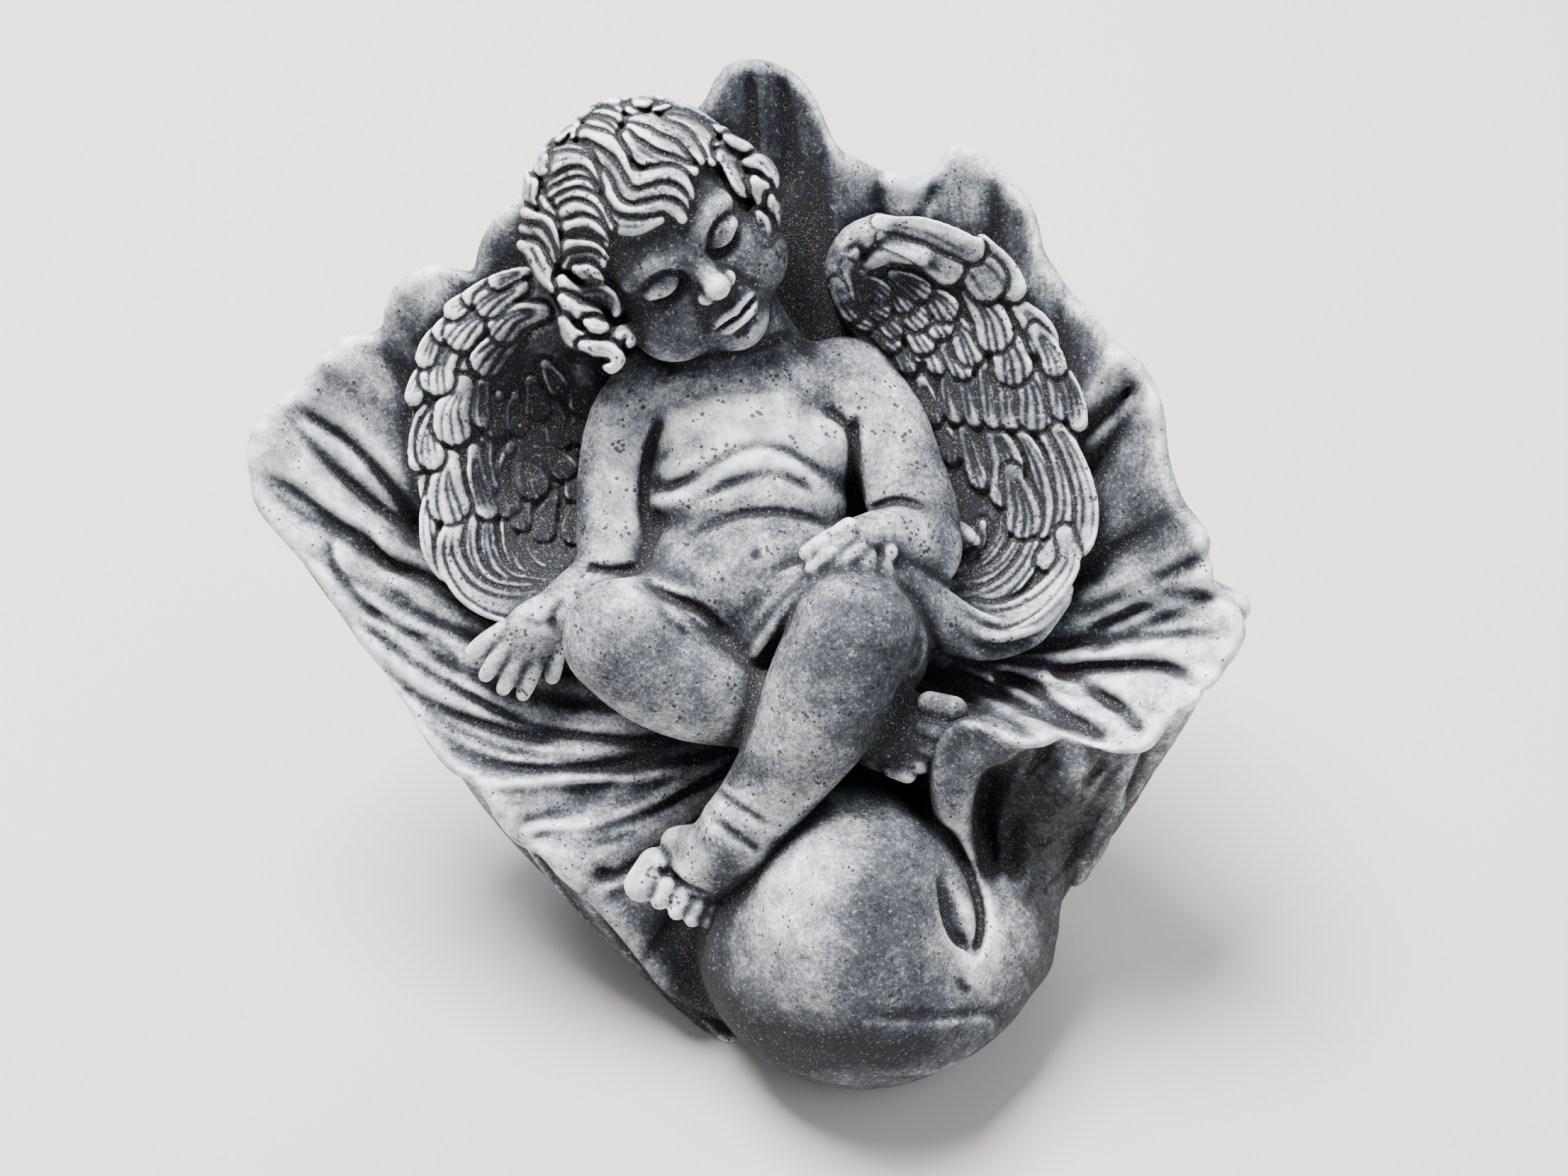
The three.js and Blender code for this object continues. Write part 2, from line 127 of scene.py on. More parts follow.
def unit(v):
    """The vector of length 1 that points the same way."""
    return np.asarray(v, float) / np.linalg.norm(v)


def moved(points, matrix):
    """Points taken through a 4 by 4 matrix."""
    m = np.array(matrix, points.dtype)
    return points @ m[:3, :3].T + m[:3, 3]


def ellipsoid(x, y, z, radii):
    """Nearly the distance to an ellipsoid about the origin, negative inside."""
    share = np.sqrt((x / radii[0]) ** 2 + (y / radii[1]) ** 2 + (z / radii[2]) ** 2)
    steepness = np.sqrt((x / radii[0] ** 2) ** 2 + (y / radii[1] ** 2) ** 2 + (z / radii[2] ** 2) ** 2)
    return share * (share - 1) / np.maximum(steepness, 1e-6)


def outline_distance(points, x, y):
    """Signed distance to a closed outline in the x, y plane, negative inside, as one flat layer."""
    points = np.array(points, float)[:, :2]
    x, y = np.broadcast_arrays(x[:, :, 0], y[:, :, 0])
    near = np.full(x.shape, 1e9)
    inside = np.zeros(x.shape, bool)
    for a, b in zip(points, np.roll(points, -1, axis=0)):
        e = b - a
        t = np.clip(((x - a[0]) * e[0] + (y - a[1]) * e[1]) / max(e @ e, 1e-9), 0, 1)
        near = np.minimum(near, (x - a[0] - t * e[0]) ** 2 + (y - a[1] - t * e[1]) ** 2)
        crosses = (a[1] > y) != (b[1] > y)
        inside ^= crosses & (x < a[0] + (y - a[1]) * e[0] / (e[1] if abs(e[1]) > 1e-9 else 1e-9))
    return (np.where(inside, -1, 1) * np.sqrt(near))[:, :, None]


def blur(block, radius):
    """A block blurred twice along each axis by a box, radius in voxels."""
    span = 2 * radius + 1
    for axis in (0, 1, 2, 0, 1, 2):
        rows = np.moveaxis(block, axis, 0)
        before, after = np.repeat(rows[:1], radius + 1, 0), np.repeat(rows[-1:], radius, 0)
        total = np.cumsum(np.concatenate([before, rows, after]), axis=0, dtype=np.float32)
        block = np.moveaxis((total[span:] - total[:-span]) / np.float32(span), 0, axis)
    return block


def sample(block, low, voxel, points, outside=0.0):
    """Values of a block at points, by its eight nearest voxels."""
    cell = (points - low) / voxel
    inside = np.all((cell >= 0) & (cell < np.array(block.shape) - 1.001), axis=1)
    c = cell[inside]
    i = c.astype(np.int32)
    f = (c - i).astype(np.float32)
    total = np.zeros(len(c), np.float32)
    for corner in np.ndindex(2, 2, 2):
        weight = np.prod(np.where(corner, f, 1 - f), axis=1)
        total += weight * block[i[:, 0] + corner[0], i[:, 1] + corner[1], i[:, 2] + corner[2]]
    value = np.full(len(points), outside, np.float32)
    value[inside] = total
    return value


def nearest(path, x, y, z):
    """For each voxel: the nearest place on the path as a station number, its distance, and the way there."""
    shape = np.broadcast_shapes(x.shape, y.shape, z.shape)
    best = np.full(shape, 1e9, np.float32)
    station = np.zeros(shape, np.float32)
    away = [np.zeros(shape, np.float32) for _ in range(3)]
    for i in range(len(path) - 1):
        a, span = path[i, :3], path[i + 1, :3] - path[i, :3]
        px, py, pz = x - np.float32(a[0]), y - np.float32(a[1]), z - np.float32(a[2])
        length2 = max(float(span @ span), 1e-6)
        t = np.clip((px * span[0] + py * span[1] + pz * span[2]) / length2, 0, 1).astype(np.float32)
        parts = [p - t * np.float32(s) for p, s in zip((px, py, pz), span)]
        d2 = parts[0] ** 2 + parts[1] ** 2 + parts[2] ** 2
        closer = d2 < best
        np.copyto(best, d2, where=closer)
        np.copyto(station, t + np.float32(i), where=closer)
        for kept, part in zip(away, parts):
            np.copyto(kept, part, where=closer)
    return station, np.sqrt(best), away


# ------------------------------------------------------------------------------------------------
# Clay
# ------------------------------------------------------------------------------------------------
class Clay:
    """A block of clay on a grid: each voxel holds its distance to the surface, negative inside."""

    def __init__(self, low, high, voxel, frame=None):
        self.voxel = voxel * COARSE
        self.low = np.array(low, float)
        count = np.ceil((np.array(high) - self.low) / self.voxel).astype(int) + 1
        self.field = np.full(count, FAR, np.float32)
        self.frame = frame or Matrix()
        self.ink = lambda points: 0.0  # where the wash is drawn on along lines

    def window(self, low, high):
        """The voxels between two corners, as slices and open coordinate arrays, or None."""
        first = np.floor((np.array(low) - self.low) / self.voxel).astype(int)
        last = np.ceil((np.array(high) - self.low) / self.voxel).astype(int) + 1
        first, last = np.maximum(first, 0), np.minimum(last, self.field.shape)
        if np.any(last <= first):
            return None
        axes = [(np.arange(a, b) * self.voxel + start).astype(np.float32)
                for a, b, start in zip(first, last, self.low)]
        place = tuple(slice(a, b) for a, b in zip(first, last))
        return (place, *np.meshgrid(*axes, indexing="ij", sparse=True))

    def whole(self):
        """The window that takes in the whole block."""
        return self.window(self.low, self.low + np.array(self.field.shape) * self.voxel)

    def add(self, place, distance, blend, cut=False):
        """Joins a form to the clay, or cuts it out, with a fillet about as wide as blend."""
        sign = -1 if cut else 1
        distance = distance.astype(np.float32)
        here = sign * self.field[place]
        near = np.minimum(here, distance)
        if blend > 0:
            mix = np.maximum(blend - np.abs(here - distance), 0) / blend
            near = near - mix * mix * blend * 0.25
        self.field[place] = sign * near

    def ball(self, centre, radii, turn=(0, 0, 0), blend=4.0, cut=False):
        """An ellipsoid, turned by angles about x, y and z."""
        radii = np.array(radii if np.ndim(radii) else (radii,) * 3, float)
        reach = radii.max() + blend + 2
        found = self.window(np.array(centre) - reach, np.array(centre) + reach)
        if not found:
            return
        place, x, y, z = found
        x, y, z = x - centre[0], y - centre[1], z - centre[2]
        if any(turn):
            about_x, about_y, about_z = (Matrix.Rotation(math.radians(a), 3, axis)
                                         for a, axis in zip(turn, "XYZ"))
            back = np.array((about_z @ about_y @ about_x).transposed())
            x, y, z = (r[0] * x + r[1] * y + r[2] * z for r in back)
        self.add(place, ellipsoid(x, y, z, radii), blend, cut)

    def tube(self, stations, blend=4.0, spans=3, cut=False):
        """A round limb through stations [x, y, z, radius]."""
        path = flowing(stations, spans)
        reach = path[:, 3].max() + blend + 1.5
        found = self.window(path[:, :3].min(0) - reach, path[:, :3].max(0) + reach)
        if not found:
            return
        place, x, y, z = found
        station, distance, _ = nearest(path, x, y, z)
        radius = np.interp(station, np.arange(len(path)), path[:, 3]).astype(np.float32)
        self.add(place, distance - radius, blend, cut)

    def ribbon(self, stations, facings, strands, blend=0.5, depth=0.8):
        """A flat strip through stations [x, y, z, half width, half thickness], grooved into strands.

        facings are the directions that its face looks in, one for each station."""
        path = flowing(np.hstack([stations, facings]), 3)
        reach = max(path[:, 3].max(), path[:, 4].max()) + blend + 1
        found = self.window(path[:, :3].min(0) - reach, path[:, :3].max(0) + reach)
        if not found:
            return
        place, x, y, z = found
        station, _, away = nearest(path, x, y, z)
        tangent = np.gradient(path[:, :3], axis=0)
        tangent /= np.linalg.norm(tangent, axis=1, keepdims=True)
        face = path[:, 5:8] - (path[:, 5:8] * tangent).sum(1, keepdims=True) * tangent
        face /= np.linalg.norm(face, axis=1, keepdims=True)
        side = np.cross(tangent, face)
        grid = np.arange(len(path))

        def at_station(column):
            return np.interp(station, grid, column).astype(np.float32)

        def along(columns):
            return sum(a * at_station(columns[:, k]) for k, a in enumerate(away))

        width, thick = at_station(path[:, 3]), at_station(path[:, 4])
        u, v, w = along(side) / width, along(face) / thick, along(tangent) / width
        distance = (np.sqrt(u * u + v * v + w * w) - 1) * np.minimum(width, thick)
        distance += depth * (1 - np.abs(np.sin(u * np.pi * strands / 2 + np.pi / 2))) ** 1.5 * (v > 0)
        self.add(place, distance, blend)

    def crease(self, points, width, depth, above=-99.0):
        """Presses a line into the top face: points are x, y. A negative depth raises a ridge instead."""
        flat = flowing(points, 3)
        reach = 2.6 * width
        found = self.window((*(flat.min(0) - reach)[:2], above), (*(flat.max(0) + reach)[:2], 99.0))
        if not found:
            return
        place, x, y, z = found
        path = np.hstack([flat[:, :2], np.zeros((len(flat), 1))])
        station, distance, _ = nearest(path, x, y, np.zeros((1, 1, 1), np.float32))
        solid = self.field[place] < 0
        first_solid = np.argmax(solid[:, :, ::-1], axis=2) * self.voxel
        top = np.where(solid.any(2), z.max() - first_solid, 1e3)[:, :, None] - abs(depth)
        last = len(path) - 1
        ends = smoothstep(station, -0.3, 0.22 * last) * smoothstep(last - station, -0.3, 0.22 * last)
        pressed = depth * bump(distance / width) * smoothstep(z, top - 3.5, top - 1) * ends
        self.field[place] += pressed.astype(np.float32)

    def relax(self):
        """Softens the clay a little, as a worn mould does."""
        for axis in range(3):
            f = np.moveaxis(self.field, axis, 0)
            f[1:-1] = 0.25 * f[:-2] + 0.5 * f[1:-1] + 0.25 * f[2:]

    def at(self, points):
        """The field at points given in the clay's own frame, FAR outside the block."""
        return sample(self.field, self.low, self.voxel, points, FAR)

    def skin(self):
        """The clay's surface as points in the carving frame and its quads."""
        band = 3 * self.voxel
        grid = openvdb.FloatGrid(background=band)
        grid.copyFromArray(np.clip(self.field, -band, band).astype(np.float32))
        points, quads = grid.convertToQuads(isovalue=0.0)
        return moved(points.astype(float) * self.voxel + self.low, self.frame), quads[:, ::-1]


class Relief:
    """Heights over x and y, on which feathers or locks are laid, each over those before it."""

    def __init__(self, low, high, pitch=0.3):
        self.low, self.pitch = np.array(low, float)[:2], pitch * COARSE
        count = np.ceil((np.array(high)[:2] - self.low) / self.pitch).astype(int) + 1
        self.top, self.ink = np.zeros(count, np.float32), np.zeros(count, np.float32)
        self.cover = np.full(count, 9.0, np.float32)  # distance to the nearest strip's edge

    def lay(self, path, width, root, tip, crown, taper, moat=1.0, lines=(), depth=0.7, fan=0.0, lean=0.0,
            blunt=0.9):
        """Lays a strip along x, y points, from height root to height tip, higher by crown in its middle.

        lines are grooves, as shares of its half width, and moat is the depth of the cut round it."""
        flat = flowing(np.array(path, float), 5)
        length = np.concatenate([[0], np.cumsum(np.linalg.norm(np.diff(flat, axis=0), axis=1))])
        stop = max(length[-1] - width * blunt, length[-1] * 0.3)
        before = length < stop - 1e-6
        core = np.vstack([flat[before], [np.interp(stop, length, flat[:, k]) for k in range(2)]])
        gone = np.append(length[before], stop) / length[-1]
        first = np.maximum(np.floor((flat.min(0) - width - 2 - self.low) / self.pitch).astype(int), 0)
        last = np.ceil((flat.max(0) + width + 2 - self.low) / self.pitch).astype(int)
        last = np.minimum(last, self.top.shape)
        x, y = (np.arange(a, b) * self.pitch + o for a, b, o in zip(first, last, self.low))
        level_path = np.column_stack([core, 0 * core[:, 0]])
        station, far, away = nearest(level_path, x[:, None, None], y[None, :, None], np.zeros((1, 1, 1)))
        station, far, away = station[..., 0], far[..., 0], [w[..., 0] for w in away]
        count = np.arange(len(core))
        t = np.interp(station, count, gone)
        along = np.gradient(core, axis=0)
        along /= np.maximum(np.linalg.norm(along, axis=1, keepdims=True), 1e-6)
        u = away[1] * np.interp(station, count, along[:, 0]) - away[0] * np.interp(station, count, along[:, 1])
        half = width * np.interp(t, *taper)
        edge = far - half
        level = root + (tip - root) * t ** 1.5 + crown * np.sqrt(np.maximum(1 - (far / half) ** 2, 0)) \
            + lean * u / half
        mark = np.zeros(t.shape)
        for share in lines:
            mark = np.maximum(mark, bump((u - share * half * (1 - fan + fan * t)) / 0.36))
        mark *= smoothstep(t, 0.06, 0.22) * smoothstep(1 - t, 0.10, 0.28)
        ring = bump(edge / 0.8)
        here = tuple(slice(a, b) for a, b in zip(first, last))
        self.top[here] = np.where(edge < 0, level - depth * mark, self.top[here] - moat * ring)
        self.ink[here] = np.where(edge < 0, min(depth, 1) * mark, np.maximum(self.ink[here], ring))
        self.cover[here] = np.minimum(self.cover[here], edge)

    def look(self, raster, x, y):
        """A raster's value at x and y, by its four nearest cells."""
        i = np.clip((x - self.low[0]) / self.pitch, 0, raster.shape[0] - 1.01)
        j = np.clip((y - self.low[1]) / self.pitch, 0, raster.shape[1] - 1.01)
        a, b = i.astype(int), j.astype(int)
        i, j = i - a, j - b
        near = raster[a, b] * (1 - i) + raster[a + 1, b] * i
        next_row = raster[a, b + 1] * (1 - i) + raster[a + 1, b + 1] * i
        return near * (1 - j) + next_row * j


# ------------------------------------------------------------------------------------------------
# The shell
# ------------------------------------------------------------------------------------------------
CENTRE = (16.0, -10.0)  # the rim is drawn about this point
BOWL, ROLL = -28.0, 8.0  # z of the deepest place inside, and the rim's thickness
SWELL = 3.6  # how far the rolled rim swells past its middle line
FOOTPRINT = (14.0, -24.0, 52.0, 58.0)  # x and y of the foot's middle, its half width and half depth
SUNK = -4.0  # the foot is made this far below the ground, then cut off level with it
RIM_DRAWN_AT = 10.0  # z of the plane in which the rim's outline is drawn
# The rim's outer edge as seen from the front, as x, y points.
RIM_LINE = [
    (119, -10), (116, -3), (111, 3), (111, 8), (109, 15), (104, 22), (101, 28), (99, 35), (98, 45),
    (96, 53), (92, 59), (87, 62), (80, 70), (72, 80), (67, 87), (65.5, 94), (62.5, 101), (58, 106.5),
    (53, 110.5), (48.5, 113.8), (44, 114.3), (41, 111.5), (38.5, 107.5), (34, 105.8), (28, 107.5),
    (20, 110.5), (14.5, 113), (11.5, 118), (8.5, 125), (4, 131.5), (-2, 135.6), (-8, 136.6), (-14, 135.3),
    (-18, 131), (-21, 125), (-27, 121), (-40, 115), (-54, 108), (-62, 104), (-68, 100.5), (-74, 96),
    (-78.5, 89), (-80.5, 82.5), (-84, 82.5), (-90, 83.5), (-96, 81.5), (-101, 77), (-103.3, 72),
    (-104, 67.8), (-108, 66), (-113, 65.3), (-118, 62), (-122, 57), (-124.3, 52.8), (-129, 50),
    (-134.5, 45.5), (-138, 38), (-138.5, 31), (-136, 21), (-129, 12), (-121, 3), (-113, -9), (-106, -19),
    (-100, -27), (-94, -37), (-87, -46.5), (-81.5, -49.8), (-78, -53), (-74, -60), (-69.5, -65.8),
    (-63, -69), (-57, -75.5), (-49, -82.5), (-42, -90), (-36, -98), (-29, -105), (-14, -112), (2, -111),
    (20, -110), (36, -104), (43, -92), (43, -76), (42, -62), (40.5, -52), (41, -45), (45, -38.5),
    (51, -36.8), (57, -38.8), (62, -41), (67, -41), (72, -38.8), (77, -40), (83, -42.3), (90, -42.8),
    (95, -41), (100, -34.5), (106, -30.5), (113, -22.5), (117.5, -16),
]
# The rim's height at some angles.
RIM_HEIGHTS = np.array([
    (0, 25), (12, 25), (30, 20), (40, 23), (60, 15), (74, 15), (86, 9), (99, 19), (112, 11), (126, 14),
    (135, 10), (142, 16), (147, 11), (152, 17), (156, 14), (163, 19), (180, 13), (192, 10), (206, 12),
    (213, 8), (219, 9), (230, 4), (262, -18), (283, -16), (298, 26), (315, 34), (333, 36), (348, 31),
], float)
# Each valley between two folds: its angle at the rim, its turn by half-way in, and its depth.
FOLDS = [
    (6, -15, 8), (20, -11, 5.5), (39, -19, 8), (57, -26, 9.5), (72, -20, 7), (86, -7, 11), (98, 2, 5.5),
    (110, 5, 8), (124, 6, 7), (136.5, 9, 9.5), (148, 14, 9.5), (158.5, 20, 9.5), (166, 20, 6), (172, 25, 3),
    (180, 25, 2.5), (189, 27, 2.5), (202, 23, 3.5), (213, 19, 5), (226, 12, 4.5), (239, 6, 6.5),
    (251, 3, 5.5), (270, 0, 4), (290, 0, 4), (318, 5, 5.5), (334, 4, 6.5), (345, -2, 6.5), (354, -6, 6.5),
]
# Lines pressed into the shell's face, as x, y points, then width and depth. A negative depth is a ridge.
SHELL_LINES = [
    ([(-9, 132), (-8, 120), (-8, 108)], 1.5, 2.2), ([(-1, 132), (1, 118), (2, 100)], 2.0, 2.4),
    ([(39, 105), (36, 99), (33, 92)], 2.0, 2.4), ([(90, 53), (83, 46), (75, 38)], 2.2, 3.4),
    ([(85, 62), (80, 52), (74, 43)], 3.0, -1.6), ([(109, 10), (95, 2), (75, -8)], 2.4, 2.6),
    ([(115, -3), (98, -2), (88, -7), (78, -12)], 1.8, 3.6),
    ([(110, -11), (100, -12), (88, -14), (76, -18)], 1.3, 2.4),
    ([(106, -28), (97, -20), (84, -20), (70, -23)], 1.8, 3.6),
    ([(90, -37), (85, -31), (77, -24), (68, -22)], 1.8, 3.8),
    ([(81, -38), (73, -33), (62, -25), (54, -24)], 1.7, 3.2), ([(62, -37), (57, -33), (50, -30)], 1.2, 1.0),
    ([(-130, 49), (-115, 40), (-105, 30), (-97, 18), (-95, 10)], 2.0, 4.2),
    ([(-133, 30), (-125, 25), (-115, 17), (-108, 13), (-103, 6), (-93, 3)], 1.5, 3.4),
    ([(-117, 14), (-115, 5), (-109, -3), (-102, -9)], 1.4, 2.8),
    ([(-112, 14), (-104, 2), (-95, -4)], 1.2, 1.4), ([(-110, -4), (-98, -11), (-84, -22)], 1.3, 2.2),
    ([(-114, -3), (-100, -16), (-84, -27), (-66, -37)], 1.2, 2.2),
    ([(-99, -11), (-90, -14), (-84, -20)], 1.1, 1.8),
    ([(-108, -14), (-96, -26), (-78, -36), (-55, -42)], 1.3, 2.4),
    ([(-104, -19), (-90, -33), (-72, -42), (-50, -45)], 1.2, 2.2),
    ([(-99, -28), (-84, -41), (-64, -47), (-30, -45)], 1.6, 3.0),
    ([(-92, -22), (-74, -32), (-58, -38), (-30, -42)], 1.0, 1.6),
    ([(-90, -40), (-78, -46), (-60, -47)], 1.2, 1.8),
    ([(-80, -50), (-60, -50), (-42, -50), (-22, -47)], 1.3, -2.0),
    ([(-78, -55), (-60, -56), (-40, -54), (-26, -49)], 1.4, 1.0),
    ([(-71, -60), (-56, -58), (-38, -55)], 1.5, 1.4),
    ([(-68, -66), (-64, -62), (-50, -61), (-38, -58), (-25, -52)], 1.4, -1.8),
    ([(-62, -66), (-48, -66), (-36, -64)], 1.2, 1.0), ([(-49, -73.5), (-45, -75)], 1.6, 2.0),
    ([(-49, -78), (-43, -77), (-37, -75)], 1.3, -1.2),
]
# The lip that curls round the whorl's eye, and the folds of the flank: x, y, z, radius, then the fillet.
RIDGES = [
    ([(51.5, -38.5, 28, 6), (46, -42.5, 27, 6.4), (44, -50, 22, 5.8), (45.5, -60, 13, 4.8),
      (48.5, -69, 8, 4.6), (52, -78, 7, 5.4)], 6),
    ([(62, -46, 17, 4.5), (59, -56, 9, 4), (57.5, -66, 4, 4), (58, -78, 4, 5), (57, -88, 2, 7)], 5),
    ([(52, -74, 5, 4), (55, -83, 8, 8), (55, -92, 5, 11), (51, -101, 0, 13.5), (44, -108, -6, 14)], 6),
    ([(72, -47, 18, 8), (66, -60, 4, 8), (64, -77, -2, 10), (58, -94, -8, 14)], 5),
    ([(85, -55, 4, 3.4), (81, -65, 0, 4.2), (76, -74, -5, 5)], 3),
]


def dense_rim():
    """The rim's angle, reach and height, at many places."""
    line = flowing(RIM_LINE, 8, closed=True)
    heights = flowing(np.vstack([RIM_HEIGHTS[-2:] - (360, 0), RIM_HEIGHTS, RIM_HEIGHTS[:2] + (360, 0)]), 8)
    angle = np.degrees(np.arctan2(line[:, 1] - CENTRE[1], line[:, 0] - CENTRE[0])) % 360
    z = np.interp(angle, heights[:, 0], heights[:, 1])
    across = line / looks_larger(z, RIM_DRAWN_AT)[:, None] - CENTRE
    return np.column_stack([angle, np.hypot(*across.T) - SWELL + 0.2, z])[np.argsort(angle)]


RIM_DENSE = dense_rim()


def rim_height(angle):
    """The rim's height at an angle, all the way round."""
    return np.interp(np.mod(angle, 360), RIM_DENSE[:, 0], RIM_DENSE[:, 2], period=360)


def rim_reach(angle):
    """The reach of the rim's middle line at an angle, all the way round."""
    return np.interp(np.mod(angle, 360), RIM_DENSE[:, 0], RIM_DENSE[:, 1], period=360)


def shell_columns(step=1.1):
    """Angle at the rim, turn and depth of every column of the shell's face, which lie along its folds."""
    columns = []
    for i, (angle, turn, depth) in enumerate(FOLDS):
        after, after_turn, after_depth = FOLDS[(i + 1) % len(FOLDS)]
        gap = (after - angle) % 360
        count = max(8, round(math.radians(gap) * float(rim_reach(angle + gap / 2)) / step))
        k = np.arange(count) / count
        crest = np.sin(np.pi * k)
        sharp = 1 - (crest ** 2 + 0.003) ** 0.32  # 1 in a valley and 0 on a crest
        columns.append(np.stack([angle + gap * k, turn + (after_turn - turn) * k,
                                 (depth + (after_depth - depth) * k) * sharp], 1))
    return np.vstack(columns)


def shell_face(columns, share):
    """Points of the face: one row for each share of the way from the centre to the rim."""
    angle, turn, depth = columns.T
    share = share[:, None]
    here = angle + turn * np.minimum((1 - share) / 0.5, 1.2)
    rim = rim_reach(here)
    reach = rim * share
    tight = smoothstep(80 - rim, 0, 40)
    rise = (rim_height(here) - BOWL) * share ** (1.5 + 1.5 * tight)
    fine = np.sin(angle * 1.9 + 3 * np.sin(share * 3)) + 0.7 * np.sin(angle * 3.3 + 1.3 + 4 * share) \
        + 0.5 * np.sin(angle * 5.7 + 2.1 - 3 * share)
    # the folds fade towards the bowl, and the fine streaks show only at the lower left
    folds = depth * smoothstep(share, 0.3, 0.6) * (1 - 0.5 * smoothstep(share, 0.85, 1))
    streaks = 0.16 * fine * smoothstep(share, 0.3, 0.5) * (1 - 0.6 * smoothstep(share, 0.8, 1)) \
        * smoothstep(here, 165, 190) * (1 - smoothstep(here, 250, 270))
    radians = np.radians(here)
    x, y = CENTRE[0] + reach * np.cos(radians), CENTRE[1] + reach * np.sin(radians)
    return np.stack([x, y, BOWL + rise - (folds + streaks)], 2)


def shell_skin():
    """The whole closed shell, face, rolled rim and back, as points, quads and the triangles of its poles."""
    columns = shell_columns()
    radians = np.radians(columns[:, 0])
    outward = np.stack([np.cos(radians), np.sin(radians), 0 * radians], 1)
    down = np.array([0, 0, -1.0])
    face = shell_face(columns, np.linspace(0.004, 1, 150) ** 0.8)
    edge = face[-1]
    turns = np.linspace(0, np.pi, 9)[1:-1]
    roll = [edge + outward * SWELL * math.sin(a) + down * ROLL / 2 * (1 - math.cos(a)) for a in turns]
    # the back runs down to the foot as a curve, drawn upright and then laid back
    lean, up = np.array(UPRIGHT.to_3x3()), np.array([0, 0, LIFT])
    rim = (edge + outward * (1 - columns[:, 2:] / 2) + down * ROLL) @ lean.T + up
    x, y, half_width, half_depth = FOOTPRINT
    foot = np.stack([x + half_width * outward[:, 0], y + half_depth * outward[:, 1], 0 * radians + SUNK], 1)
    belly = rim + (foot - rim) * 0.2
    belly[:, 2] = rim[:, 2] + (foot[:, 2] - rim[:, 2]) * 0.55
    back = [(rim * (1 - t) ** 2 + belly * 2 * t * (1 - t) + foot * t * t - up) @ lean
            for t in np.linspace(0, 1, 60)]
    rings = np.array([*face, *roll, *back])
    n, m = rings.shape[:2]
    points = np.vstack([rings.reshape(-1, 3), face[0].mean(0), (np.array([x, y, SUNK]) - up) @ lean])
    i = np.arange(n * m).reshape(n, m)
    j = np.roll(i, -1, axis=1)
    quads = np.stack([i[:-1], j[:-1], j[1:], i[1:]], 2).reshape(-1, 4)
    bottom, back_pole = 0 * i[0] + n * m, 0 * i[0] + n * m + 1
    caps = np.vstack([np.stack([bottom, j[0], i[0]], 1), np.stack([back_pole, i[-1], j[-1]], 1)])
    return points, quads, caps


def whorl(clay):
    """The bulb that the shell grows from: its egg-shaped crown, its eye with a tongue, and its lip."""
    clay.ball((20, -92, -6), (43, 39, 42), blend=6)
    for stations, blend in RIDGES:
        clay.tube(stations, blend=blend, spans=5)
    clay.ball((17, -87.5, 5), (30, 36.5, 37), turn=(0, 0, -8), blend=1.6)
    eye = [(36, -57), (42.5, -64.5), (47, -73), (49.3, -82), (48.6, -89), (46, -93)]
    clay.crease(eye, 1.4, 5.5, above=-6)
    slot = [(40, -73, 27, 2.0), (41, -79, 27.5, 3.2), (43, -85, 27, 3.4), (44.6, -89, 24, 2.4)]
    clay.tube(slot, blend=1.2, cut=True)
    clay.tube([(42.6, -77, 21.5, 1.8), (43.8, -83, 22, 2.2), (44.8, -87.5, 20, 1.8)], blend=1)
    clay.crease([(42.5, -96.5), (44.5, -99), (46.5, -100.5)], 1.0, 1.6)
    clay.crease([(-8, -62), (-11, -74), (-15, -88), (-16, -102)], 2.0, 1.2, above=-20)
    clay.crease([(53, -43), (51.5, -50), (50.5, -60), (52, -70), (54, -76)], 3.0, 5.0, above=-6)
    clay.crease([(59, -56), (58.5, -66), (59.5, -76)], 2.2, 3.0, above=-12)


def scratch_flank(clay):
    """Short scratches down the rough flank, each with its place, lean, length, width and depth."""
    rng = np.random.default_rng(7)
    places = rng.uniform((58, -78), (104, -38), (70, 2)).tolist()
    shapes = rng.uniform((2, 5, 0.6, 0.4), (9, 15, 1.3, 1.5), (70, 4)).tolist()
    for (x, y), (dx, length, width, depth) in zip(places, shapes):
        line = [(x, y), (x - dx * 0.6, y - length * 0.5), (x - dx, y - length)]
        clay.crease(line, width, depth * 0.6, above=-50)


def flap(clay):
    """A thin smooth overlap that the cast left low on the whorl."""
    place, x, y, z = clay.window((8, -128, -40), (62, -98, 40))
    outline = [(14, -112), (20, -105), (30, -106), (40, -107), (50, -107), (54, -110), (54, -115), (46, -121),
               (38, -124), (22, -122), (12, -118)]
    raised = 1.6 * (1 - smoothstep(outline_distance(outline, x, y), -0.6, 0.5)) * smoothstep(x, 12, 28)
    clay.field[place] -= raised.astype(np.float32)


